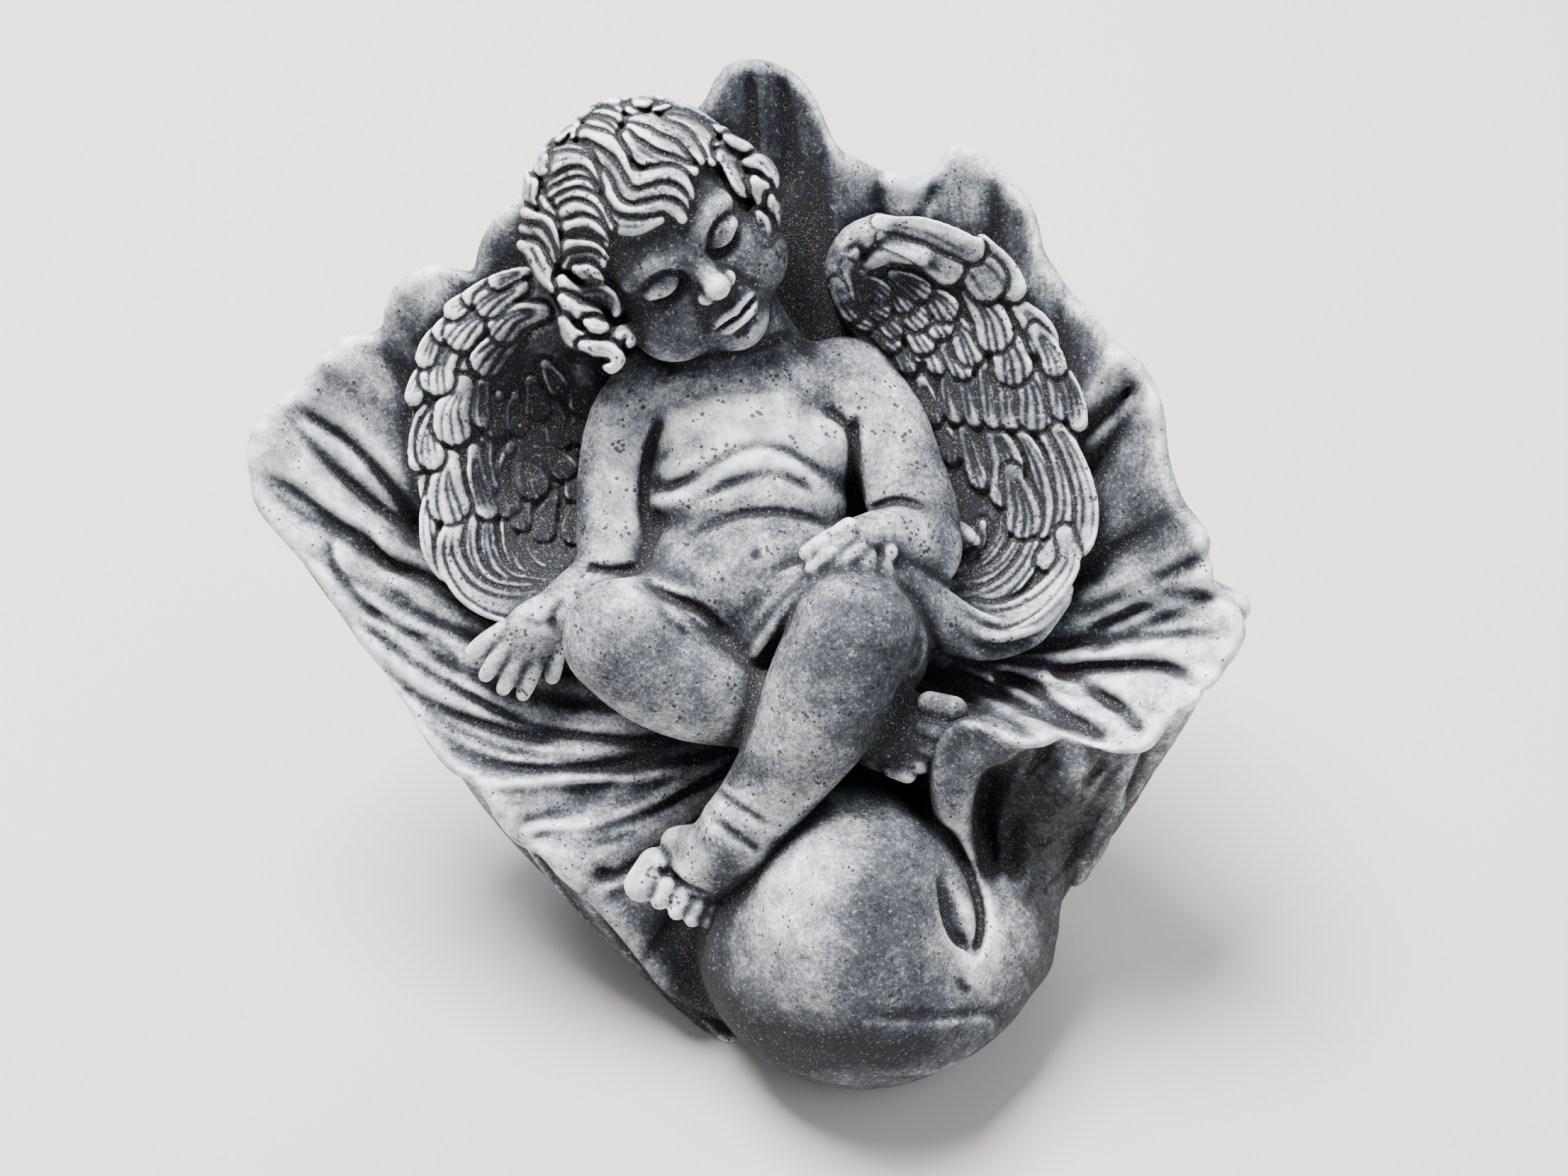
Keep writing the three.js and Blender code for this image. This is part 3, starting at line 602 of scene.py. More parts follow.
def sculpt_shell():
    clay = Clay((-142, -137, -106), (124, 143, 60), 0.8)
    points, quads, caps = shell_skin()
    level = openvdb.FloatGrid.createLevelSetFromPolygons(
        (points - clay.low) / clay.voxel, triangles=caps.astype(np.uint32), quads=quads.astype(np.uint32),
        transform=openvdb.createLinearTransform(1.0), halfWidth=FAR / clay.voxel)
    level.copyToArray(clay.field)
    clay.field *= clay.voxel
    for line, width, depth in SHELL_LINES:
        fine_at_left = line[0][0] < -60 and width < 1.8
        clay.crease(line, width, depth * (1.3 if depth < 0 else 0.8 if fine_at_left else 1), above=-34)
    clay.tube([(92, 2, 6, 5), (103, -1, 10, 5.5), (114, -5, 15, 4.5)], blend=3)
    whorl(clay)
    scratch_flank(clay)
    flap(clay)
    _, x, y, z = clay.whole()
    above_ground = math.sqrt(0.5) * (y + z) + LIFT
    clay.field = np.maximum(clay.field, -above_ground)
    clay.relax()
    return clay


# ------------------------------------------------------------------------------------------------
# The child's body, with its cloth
# ------------------------------------------------------------------------------------------------
# Creases of the body: x, y points, width, depth, then the z above which they are pressed in.
BODY_LINES = [
    ([(-33, 23), (-28, 26), (-18, 31), (-12, 34.5), (-6, 36), (0, 35), (5, 32), (10, 29.5),
      (16, 29.5)], 1.6, 1.2, 2),
    ([(-29, 19.5), (-20, 23), (-12, 27), (-5, 29), (0, 28.5), (5, 26), (10, 22.5)], 1.5, 1.0, 2),
    ([(-27, 11), (-20, 15), (-12, 18), (-5, 19), (0, 19), (8, 17), (15, 13.5)], 1.2, 0.9, 2),
    ([(9, 45.5), (14, 43.5), (17.5, 38), (18, 31)], 1.3, 1.2, 2),
    ([(18.5, 45), (18, 38), (18, 30), (20, 20)], 1.5, 2.2, -6),
    ([(-31, 44), (-34.5, 36), (-36.5, 27), (-36, 12)], 1.4, 1.9, -6),
    ([(-38, 3), (-30, -2), (-22, -5), (-17, -9), (-14, -14)], 1.5, 2.6, 0),
    ([(-51, 5.5), (-45, 4.6), (-37, 5)], 1.2, 2.0, -4), ([(22, 20), (28, 22), (36, 20.5)], 1.1, 1.7, 0),
    ([(21, 9), (27, 6), (30, 2)], 1.2, 1.0, 20), ([(-17, -50.5), (-10, -54.5), (-3, -59)], 0.9, 1.2, 10),
    ([(-18, -57), (-12, -61), (-5, -66)], 0.9, 1.2, 8), ([(-31, -4), (-28, -8), (-23, -12)], 0.9, 0.8, 8),
    ([(-27, -4), (-22, -9), (-17, -12)], 0.9, 0.8, 6), ([(33, -11), (33.5, -16), (31.5, -21)], 1.2, 1.6, 4),
    ([(-57, -8), (-62, -9), (-67, -8)], 0.9, 0.7, 4), ([(-56, -3), (-59, -7), (-58, -12)], 1.0, 1.0, 4),
    ([(-30, 61), (-18, 60), (-6, 62), (2, 66)], 1.4, 1.6, 0),
]


def finger(clay, knuckle, tip, thickness, arch=1.6):
    """A plump finger that bends at its middle, with a nail bed."""
    knuckle, tip = np.array(knuckle, float), np.array(tip, float)
    middle = knuckle * 0.52 + tip * 0.48 + (0, 0, arch)
    three = knuckle * 0.2 + tip * 0.8 + (0, 0, arch * 0.4)
    clay.tube([(*knuckle, thickness), (*middle, thickness * 1.02), (*three, thickness * 0.94),
               (*tip, thickness * 0.8)], blend=0.3)
    nail = tip - unit(tip - middle) * 0.2 + np.array((0, 0, thickness * 0.72))
    clay.ball(nail, (thickness * 0.55, thickness * 0.6, 0.5), blend=0.3)


def trunk(clay):
    clay.tube([(-7, -12, -4, 24), (-8, 4, 0, 25), (-8, 18, -2, 24), (-9, 34, -3, 24), (-9, 46, -5, 22),
               (-10, 56, -6, 16)], blend=8)
    clay.tube([(-30, 44, -6, 13), (-9, 50, -6, 15), (14, 46, -6, 13)], blend=8)
    clay.ball((-8, 22, -18), (40, 40, 15), blend=5)
    clay.ball((-9, 3, 6), (26, 17, 23), blend=6)  # belly
    clay.ball((-20, 41, 3), (14.5, 9.5, 13), turn=(0, 0, 12), blend=4)  # breasts
    clay.ball((7, 37, 4), (12.5, 9, 13), turn=(0, 0, -14), blend=4)
    clay.ball((-10, 30, 2), (24, 7, 19.2), blend=4)
    clay.ball((-10, 22.5, 2), (25, 6, 20.2), blend=4)
    clay.tube([(-9, 56, -4, 14), (-13, 64, 3, 15), (-17, 72, 9, 15)], blend=6)  # neck
    clay.ball((-12, 51, 4), (25, 8.5, 11), turn=(-20, 0, 6), blend=5)


def arms(clay):
    clay.tube([(-33, 51, -4, 13), (-40, 42, -1, 11.5), (-43, 30, 1, 10.6), (-43.5, 18, 1, 10.6),
               (-43.5, 7, 2, 10.4)], blend=4)
    clay.tube([(-43.5, 3, 2, 9.6), (-50, -1, 4, 8.8), (-58, -6, 7, 6.8), (-63, -10, 8, 6.2)], blend=2)
    clay.tube([(16, 52, -4, 14), (25, 42, 0, 12.4), (30, 30, 3, 11.6), (33.5, 20, 6, 11.4),
               (34.5, 12, 10, 11)], blend=4)
    clay.tube([(34, 9, 12, 11), (28, 11, 19, 10.4), (22, 11.5, 25, 7.6), (17, 10.5, 28, 6.4)], blend=2)
    clay.ball((-64.5, -12, 9), (10, 8, 5.2), turn=(0, 0, 48), blend=2.5)
    for knuckle, tip, size in (
            ((-71.5, -10.5, 10), (-80.5, -16.5, 6), 2.5), ((-69, -13, 11), (-77, -22.5, 6), 2.45),
            ((-66, -15.5, 11), (-72.5, -26, 5.5), 2.45), ((-62.5, -17, 10), (-67.5, -27.5, 4.5), 2.4),
            ((-58, -13, 9), (-60, -23, 4), 2.6)):
        finger(clay, knuckle, tip, size)
    clay.ball((16.5, 10, 30), (8, 6.4, 5), turn=(0, 0, 20), blend=2)
    for knuckle, tip, size in (
            ((16, 15, 32.5), (5.5, 8.5, 34.5), 2.5), ((15.5, 12, 34), (7, 5, 35.5), 2.5),
            ((18.5, 9.5, 34.5), (12, 4.6, 36), 2.4), ((21.5, 7.5, 34), (18, 3.4, 35), 2.3),
            ((26, 9, 31), (24, 2.5, 33), 2.2)):
        finger(clay, knuckle, tip, size, arch=1.2)


def legs(clay):
    """Both crossed legs, each with its foot and toes."""
    clay.tube([(-18, -10, 2, 18), (-30, -11, 14, 15.5), (-40, -11, 26, 13.5)], blend=5)
    clay.tube([(-41, -13, 26, 14), (-33, -20, 23, 14), (-22, -25, 18, 14), (-8, -29, 13, 12),
               (6, -32, 10, 10), (22, -35, 9, 8)], blend=2.5)
    clay.tube([(20, -15, 2, 18), (20, -12, 18, 16.5), (17, -10, 33, 14)], blend=4)
    clay.tube([(17, -10, 33, 14.6), (13, -20, 30, 15.6), (8, -32, 26.5, 15.2), (1, -44, 22.5, 12.6),
               (-6, -54, 20, 10.8), (-11, -60, 18, 10)], blend=3)
    clay.tube([(-11, -62, 17, 10.3), (-16, -67, 13.5, 9.8), (-20, -71, 10.5, 8.4)], blend=1.6)
    clay.ball((-20.5, -69.8, 8), (12.5, 7, 6.8), turn=(0, 0, -31), blend=4)
    clay.tube([(-33, -71, 10, 4.6), (-36.5, -76, 10.5, 4.5)], blend=0.8)
    for x, y, z, size in ((-31.5, -79.2, 13, 2.35), (-27.2, -82, 12.5, 2.3), (-23.2, -84, 12, 2.2),
                          (-19.4, -84.6, 11, 2.1)):
        clay.tube([(x + 2.4, y + 6, z - 2, size), (x + 1.3, y + 3.2, z, size),
                   (x - 0.2, y - 0.6, z - 0.6, size)], blend=0.3)
        clay.ball((x - 0.2, y - 0.4, z + size * 0.75), (1.1, 1.3, 0.7), blend=0.3)
    clay.crease([(-34, -71), (-29, -73), (-24, -75.5), (-17.5, -78)], 0.9, 1.5, above=4)
    clay.tube([(20, -34, 12, 10), (27, -35.5, 16, 11.5), (34, -37.5, 18.5, 9.5)], blend=2)
    for x, y, z, size in ((42, -30.6, 27, 3.8), (38.6, -36, 28.5, 2.9), (36.6, -40.2, 27.5, 2.7),
                          (34, -43.8, 26, 2.6), (30.8, -46.4, 24, 2.5)):
        clay.tube([(x - size * 1.5, y + size * 0.4, z - 2.0, size * 0.9), (x, y, z, size)], blend=0.6)


def cloth(clay):
    """The cloth, from the lap over the far thigh, through the hand and along the wing's lower edge."""
    clay.tube([(-11, -17, 16, 4), (-6, -9, 22, 5), (2, -1, 27, 5), (8, 4, 30, 3)], blend=3)
    for stations in (
            [(-13, -15, 16, 1.4), (-9, -9, 22, 1.5), (-5, -1, 27, 1.5), (2, 3, 30, 1.5), (9, 5, 32, 1.4)],
            [(-13, -19, 16, 1.3), (-8, -11.5, 24, 1.4), (-3, -4, 29, 1.5), (4, 2, 32, 1.5), (11, 5, 34, 1.4)],
            [(-12, -23, 17, 1.2), (-6, -14, 26, 1.3), (0, -6, 31.5, 1.5), (6, 0, 34, 1.5), (12, 3, 36, 1.4)],
            [(18, 4, 34, 1.8), (25, 3, 32, 2.4), (31, 0, 26, 2.4), (38, -4, 19, 2), (46, -9.5, 14, 1.8),
             (55, -12.5, 11, 1.6), (66, -9, 8, 1.4), (74, 0, 4, 1)],
            [(24, 5, 31, 1.6), (32, 3, 25, 1.8), (40, -1.5, 17, 1.6), (47, -6, 12, 1.4), (56, -9, 9, 1)],
            [(26, -2, 29, 2), (34, -5, 22, 2.4), (41, -10, 15, 2.4), (48, -15.5, 9, 2.4), (56, -16, 5, 2),
             (66, -12, 2, 1.4)],
            [(30, 1, 23, 5), (40, -8, 11, 7), (50, -12, 4, 6.5), (62, -10, 2, 6), (70, -2, 1, 5)]):
        clay.tube(stations, blend=2.2)


def sculpt_body():
    clay = Clay((-92, -96, -38), (82, 76, 58), 0.6)
    trunk(clay)
    arms(clay)
    legs(clay)
    for line, width, depth, above in BODY_LINES:
        clay.crease(line, width, depth, above=above)
    clay.ball((-7, 8.5, 29.5), (1.1, 1.4, 2.2), blend=1.6, cut=True)  # navel
    cloth(clay)
    clay.relax()
    return clay


# ------------------------------------------------------------------------------------------------
# The wings
# ------------------------------------------------------------------------------------------------
WEB = 14.0  # a wing's thickness behind its face


def sheet_through(points, stiffness=25.0):
    """The height, at any x and y, of a smooth thin sheet that passes close to x, y, z points."""
    p = np.array(points, float)
    n = len(p)

    def pull(r2):
        return 0.5 * r2 * np.log(r2 + 1e-6)

    system = np.zeros((n + 3, n + 3))
    system[:n, :n] = pull(((p[:, None, :2] - p[None, :, :2]) ** 2).sum(2)) + stiffness * np.eye(n)
    system[:n, n] = system[n, :n] = 1
    system[:n, n + 1:] = p[:, :2]
    system[n + 1:, :n] = p[:, :2].T
    w = np.linalg.solve(system, np.append(p[:, 2], (0, 0, 0)))

    def height(x, y):
        total = w[n] + w[n + 1] * x + w[n + 2] * y
        for (px, py, _), weight in zip(p, w):
            total = total + weight * pull((x - px) ** 2 + (y - py) ** 2)
        return total

    return height


class Wing:
    """A wing: an outline, the height of its face drawn through places where it is set, and its feathers."""

    def __init__(self, low, high, outline, heights):
        self.low, self.high, self.outline = low, high, outline
        self.height = sheet_through(heights)
        self.relief = Relief(low, high)
        self.rng = np.random.default_rng(5)

    def feather(self, path, width, rise=1.4, base=0.3, veins=3, depth=0.7):
        """Lays a feather, narrow at its root, whose tip stands by rise over what it covers."""
        lines = np.linspace(-0.62, 0.62, veins) + self.rng.uniform(-0.12, 0.12, veins)
        taper = ([0, 0.35, 0.7, 1], [0.55, 0.85, 1, 0.95])
        self.relief.lay(path, width, base, base + rise, 0.7, taper, moat=1.1, lines=lines, depth=depth, fan=0.7,
                        lean=self.rng.uniform(-0.25, 0.25))

    def draw_ink(self, points):
        """The wash drawn between feathers and along veins, on the face alone."""
        x, y, z = points.T
        face = self.height(x, y)
        return self.relief.look(self.relief.ink, x, y) * smoothstep(z, face - 4, face - 2)

    def carve(self):
        """The wing as clay, with a rounded edge that follows its outline and the tips of its feathers."""
        clay = Clay(self.low, self.high, 0.45)
        _, x, y, z = clay.whole()
        web = self.height(x, y)
        face = web + self.relief.look(self.relief.top, x, y)
        edge = outline_distance(flowing(self.outline, 4, closed=True), x, y)
        edge = np.minimum(edge, np.where(z > web - 2.5, self.relief.look(self.relief.cover, x, y), 9))
        slope = np.maximum(z - face, web - WEB - z) * 0.8
        solid = np.maximum(slope, edge)
        both = np.maximum(slope + 0.8, 0) ** 2 + np.maximum(edge + 0.8, 0) ** 2
        clay.field[:] = np.minimum(np.where(solid > -0.8, np.sqrt(both) - 0.8, solid), FAR)
        clay.ink = self.draw_ink
        return clay


# Each feather: its x, y path from root to tip, and its half width. The first of a list lie lowest.
RIGHT_LONG = [
    ([(52, 17), (51, 11), (46, 6), (42, 5)], 1.8), ([(58, 22), (57, 13), (52, 6), (44, 3)], 1.9),
    ([(62, 26), (62, 14), (57, 5), (49, 1), (41, 0)], 2.3),
    ([(65, 30), (66, 16), (62, 5), (54, -2), (43, -3.5)], 2.6),
    ([(60, 42), (66, 31), (68.5, 20), (66, 13)], 2.4),
    ([(63, 46), (70, 35), (73, 22), (71, 12), (66, 5)], 2.6),
    ([(67, 46), (74, 34), (77.5, 22), (76.5, 12), (72, 8)], 2.6),
    ([(72, 14), (73, 6), (66, -3), (56, -8), (45, -6.5)], 3.6),
]
RIGHT_ROWS = [
    ([(40, 44), (43, 38), (44, 32.5)], 2.2), ([(47, 43), (50, 34), (53, 26)], 2.8),
    ([(52, 43), (55, 33), (62, 24)], 2.2), ([(54, 42), (58, 32), (57.5, 21)], 3.3),
    ([(59, 30), (62, 20), (61.5, 13)], 3.2), ([(36, 54), (38, 48), (40, 42.5)], 2.2),
    ([(42, 57), (43.5, 50), (45.5, 43)], 2.1), ([(46, 58), (48.5, 50), (50.5, 42)], 2.2),
    ([(51, 59), (53.5, 50), (55, 41.5)], 2.2), ([(55, 60), (58, 51), (59.5, 41)], 2.4),
    ([(60, 58), (64, 50), (65, 40.5)], 3.2), ([(66, 60), (70, 52), (72, 43)], 2.3),
    ([(70, 58), (74, 49), (75.5, 40)], 1.9), ([(29, 63), (32, 59), (33, 56)], 2.0),
    ([(33, 66), (36, 62), (37.5, 59)], 2.2), ([(36, 64), (39.5, 60), (41, 56)], 2.3),
    ([(41, 64), (45, 59), (47.5, 54.5)], 2.3), ([(43, 70), (47, 64), (49.5, 58)], 2.8),
    ([(54, 67), (58, 60), (59.5, 52.5)], 3.6), ([(60, 72), (65, 66), (67.5, 59)], 2.8),
    ([(64, 66), (68, 60), (70, 54)], 2.2), ([(48, 76), (53, 69), (55, 61)], 3.4),
    ([(22, 70), (26, 66), (30, 62.5)], 2.4), ([(30, 72), (34, 67), (38, 61.5)], 2.6),
    ([(36, 74), (40, 69), (42, 65)], 2.8), ([(16, 74), (19, 71), (24, 69)], 2.3),
    ([(24, 73), (27, 69.5), (30.5, 66)], 2.4), ([(29, 76), (33, 72), (37, 68)], 2.6),
    ([(13, 78), (16, 74), (19.5, 70.5)], 2.2), ([(20, 77), (23, 73.5), (27.5, 71)], 2.2),
    ([(26, 79), (30, 75.5), (33, 72)], 2.3), ([(36, 77), (40, 74), (43.5, 69.5)], 2.6),
    ([(16, 82), (19, 78.5), (21, 74)], 2.2), ([(20, 80), (24, 77.5), (27, 75)], 2.1),
    ([(28, 81), (33, 78.5), (37.5, 75.5)], 2.2),
]
RIGHT_FRONT = [
    ([(50, 88), (56, 81), (60, 73.5)], 3.0), ([(40, 86), (49, 81), (54.5, 74.5)], 4.4),
    ([(26, 89), (36, 86), (45, 79.5)], 4.0), ([(24, 93), (36, 91), (50.5, 84.5)], 3.0),
]
LEFT_LONG = [
    ([(-60, 16), (-59, 9), (-56, 5)], 1.9), ([(-65, 18), (-62, 9), (-57, 4)], 2.0),
    ([(-69, 20), (-66, 9), (-58, 3)], 2.1), ([(-73, 22), (-71, 10), (-66, 3), (-56, 1.5)], 2.2),
    ([(-77, 22), (-76, 9), (-70, 1.5), (-56, 0)], 2.3), ([(-80, 22), (-81, 9), (-75, 0), (-58, -2)], 2.5),
    ([(-86, 30), (-91, 20), (-90, 9), (-85, 2)], 2.4),
    ([(-84, 19), (-86, 9), (-81, -0.5), (-71, -5), (-60, -3.5)], 3.8),
]
LEFT_INNER = [
    ([(-61, 24), (-63, 18), (-63, 12)], 2.6), ([(-53, 24), (-55, 17), (-55, 11.5)], 3.2),
    ([(-67, 28), (-69, 20), (-68, 15)], 2.4), ([(-71, 37), (-73, 28), (-72, 18.5)], 3.0),
    ([(-55, 32), (-55, 27), (-54.5, 22.5)], 3.0), ([(-66, 38), (-67, 31), (-65, 23.5)], 3.7),
    ([(-63, 40), (-60, 34), (-56, 29.5)], 3.0), ([(-77, 40), (-78, 30), (-76, 24)], 2.2),
    ([(-74, 50), (-75, 44), (-75, 39)], 2.4), ([(-70, 50), (-70, 45), (-68.5, 40)], 2.6),
    ([(-61, 48), (-60, 42), (-58, 37)], 3.4), ([(-53, 47), (-54, 43), (-54, 38)], 2.8),
    ([(-66, 54), (-65, 49), (-64.5, 44)], 2.8), ([(-55, 54), (-54, 50), (-53, 46)], 3.0),
    ([(-62, 58), (-60, 54), (-58, 51)], 2.6),
]
LEFT_ROWS = [
    ([(-92, 46), (-94, 38), (-94, 30)], 2.0), ([(-80, 36), (-79, 27), (-76, 18)], 2.4),
    ([(-86, 33), (-86.5, 25), (-84.5, 17)], 4.4), ([(-88, 46), (-90.5, 38), (-89.5, 30.5)], 3.0),
    ([(-77, 54), (-78.5, 47), (-78, 41.5)], 2.2), ([(-89, 60), (-93, 53), (-95, 46.5)], 2.2),
    ([(-82, 52), (-85, 45), (-84.5, 37)], 4.0), ([(-84, 62), (-88, 56), (-88, 49.5)], 3.8),
    ([(-86, 68), (-90, 62), (-92, 56)], 2.4), ([(-68, 66), (-74, 61), (-78.5, 55.5)], 3.4),
    ([(-79, 72), (-84, 68), (-88, 63)], 2.6), ([(-74, 71), (-80, 67), (-84.5, 61.5)], 3.6),
    ([(-62, 71), (-69, 69), (-74, 64)], 3.4), ([(-76, 77), (-81, 73), (-86, 69)], 2.4),
    ([(-71, 80), (-76, 76.5), (-81, 72.5)], 2.3), ([(-67, 77), (-73, 74), (-77.5, 70)], 3.2),
    ([(-66, 81), (-70, 79.5), (-75, 77)], 2.0),
]
# Each wing's outline, and places that its face passes through.
RIGHT_OUTLINE = [
    (14, 72), (12, 80), (15, 88), (22, 94), (30, 94), (40, 91), (50, 86), (58, 77), (65, 66), (71, 54),
    (75, 40), (78, 24), (77, 11), (73, 3), (66, -5), (56, -10), (46, -9), (38, -2), (36, 12), (34, 34),
    (28, 54), (20, 64),
]
RIGHT_HEIGHTS = [
    (16, 84, 10), (22, 91, 11), (32, 91, 13), (44, 87, 14), (55, 79, 13), (63, 66, 12), (70, 50, 11),
    (74, 34, 10), (75, 18, 10), (71, 4, 9), (62, -6, 8), (50, -8, 7), (40, -3, 6), (30, 81, 5), (42, 74, 6),
    (52, 66, 7), (60, 52, 7), (64, 38, 6), (66, 22, 5), (60, 6, 3), (50, 0, 2), (20, 74, 1), (30, 66, 0),
    (38, 56, 0), (44, 42, -1), (48, 26, -3), (48, 14, -4), (42, 6, -4), (36, 44, -4), (40, 24, -6),
]
LEFT_OUTLINE = [
    (-58, 72), (-64, 82), (-72, 81), (-80, 75.5), (-87, 69), (-92, 58), (-95, 46), (-94.5, 32), (-92, 16),
    (-88, 4), (-82, -3), (-74, -6), (-66, -5.5), (-57, -3), (-48, 2), (-45, 20), (-45, 44), (-50, 60),
]
LEFT_HEIGHTS = [
    (-64, 79, 10), (-74, 77, 13), (-82, 69, 14), (-88, 58, 13), (-92, 44, 12), (-92, 30, 10), (-89, 14, 10),
    (-84, 3, 8), (-76, -3, 7), (-66, -4, 6), (-56, -1, 4), (-70, 68, 12), (-79, 58, 12), (-84, 46, 12),
    (-84, 30, 11), (-81, 14, 8), (-75, 4, 6), (-60, 66, 6), (-72, 54, 2), (-76, 40, 1), (-76, 26, 0),
    (-70, 14, -2), (-64, 7, -1), (-64, 50, -6), (-66, 34, -7), (-64, 20, -6), (-54, 48, -10),
    (-54, 30, -10), (-54, 14, -7), (-50, 60, -8),
]


def sculpt_right_wing():
    wing = Wing((6, -16, -34), (84, 100, 22), RIGHT_OUTLINE, RIGHT_HEIGHTS)
    for i, (path, width) in enumerate(RIGHT_LONG):
        wing.feather(path, width * 1.15, rise=0.5, base=0.5 + 0.1 * i, veins=2, depth=0.6)
    for path, width in RIGHT_ROWS:
        wing.feather(path, width * 1.38, rise=1.7)
    for i, (path, width) in enumerate(RIGHT_FRONT):
        wing.feather(path, width * 1.1, rise=0.8, base=1.4 + 0.2 * i, veins=2, depth=0.35)
    clay = wing.carve()
    clay.tube([(15, 77, 5, 3.2), (14.5, 83, 9, 4), (18, 89, 11.5, 4), (24, 92, 12.5, 3.4)], blend=2)
    clay.tube([(20, 83, 8, 2), (27, 86, 11, 3), (35, 85, 12, 2.6)], blend=2)
    clay.crease([(15, 85), (19, 87.5), (21, 83)], 0.9, 1.2)
    clay.ball((47, 14.5, 1.5), (5, 2.0, 3), turn=(0, 0, -38), blend=1)
    clay.relax()
    return clay


def sculpt_left_wing():
    wing = Wing((-100, -12, -36), (-42, 88, 22), LEFT_OUTLINE, LEFT_HEIGHTS)
    for i, (path, width) in enumerate(LEFT_LONG):
        wing.feather(path, width * 1.12, rise=0.5, base=0.5 + 0.1 * i, veins=2, depth=0.8)
    for path, width in LEFT_INNER:
        wing.feather(path, width * 1.25, rise=1.6, veins=4)
    for path, width in LEFT_ROWS:
        wing.feather(path, width * 1.15, rise=1.8)
    clay = wing.carve()
    clay.relax()
    return clay


# ------------------------------------------------------------------------------------------------
# The head
# ------------------------------------------------------------------------------------------------
def head_frame():
    """The head's own frame: x across the face, y to the crown, z out of the face."""
    z = unit((0.36, -0.38, 0.85))
    crown = np.array((-0.556, 0.645, 0.524))
    y = unit(crown - (crown @ z) * z)
    matrix = Matrix.Identity(4)
    for column, axis in enumerate((np.cross(y, z), y, z, (-30.6, 88.8, 20))):
        for row in range(3):
            matrix[row][column] = float(axis[row])
    return matrix


HEAD = head_frame()
SCALP = (np.array((0, 5, -5.0)), np.array((27.5, 28.0, 31.0)))  # centre and radii in the head's frame
LOCKS_DRAWN_AT = 38.0  # z of the plane in which the front locks are drawn
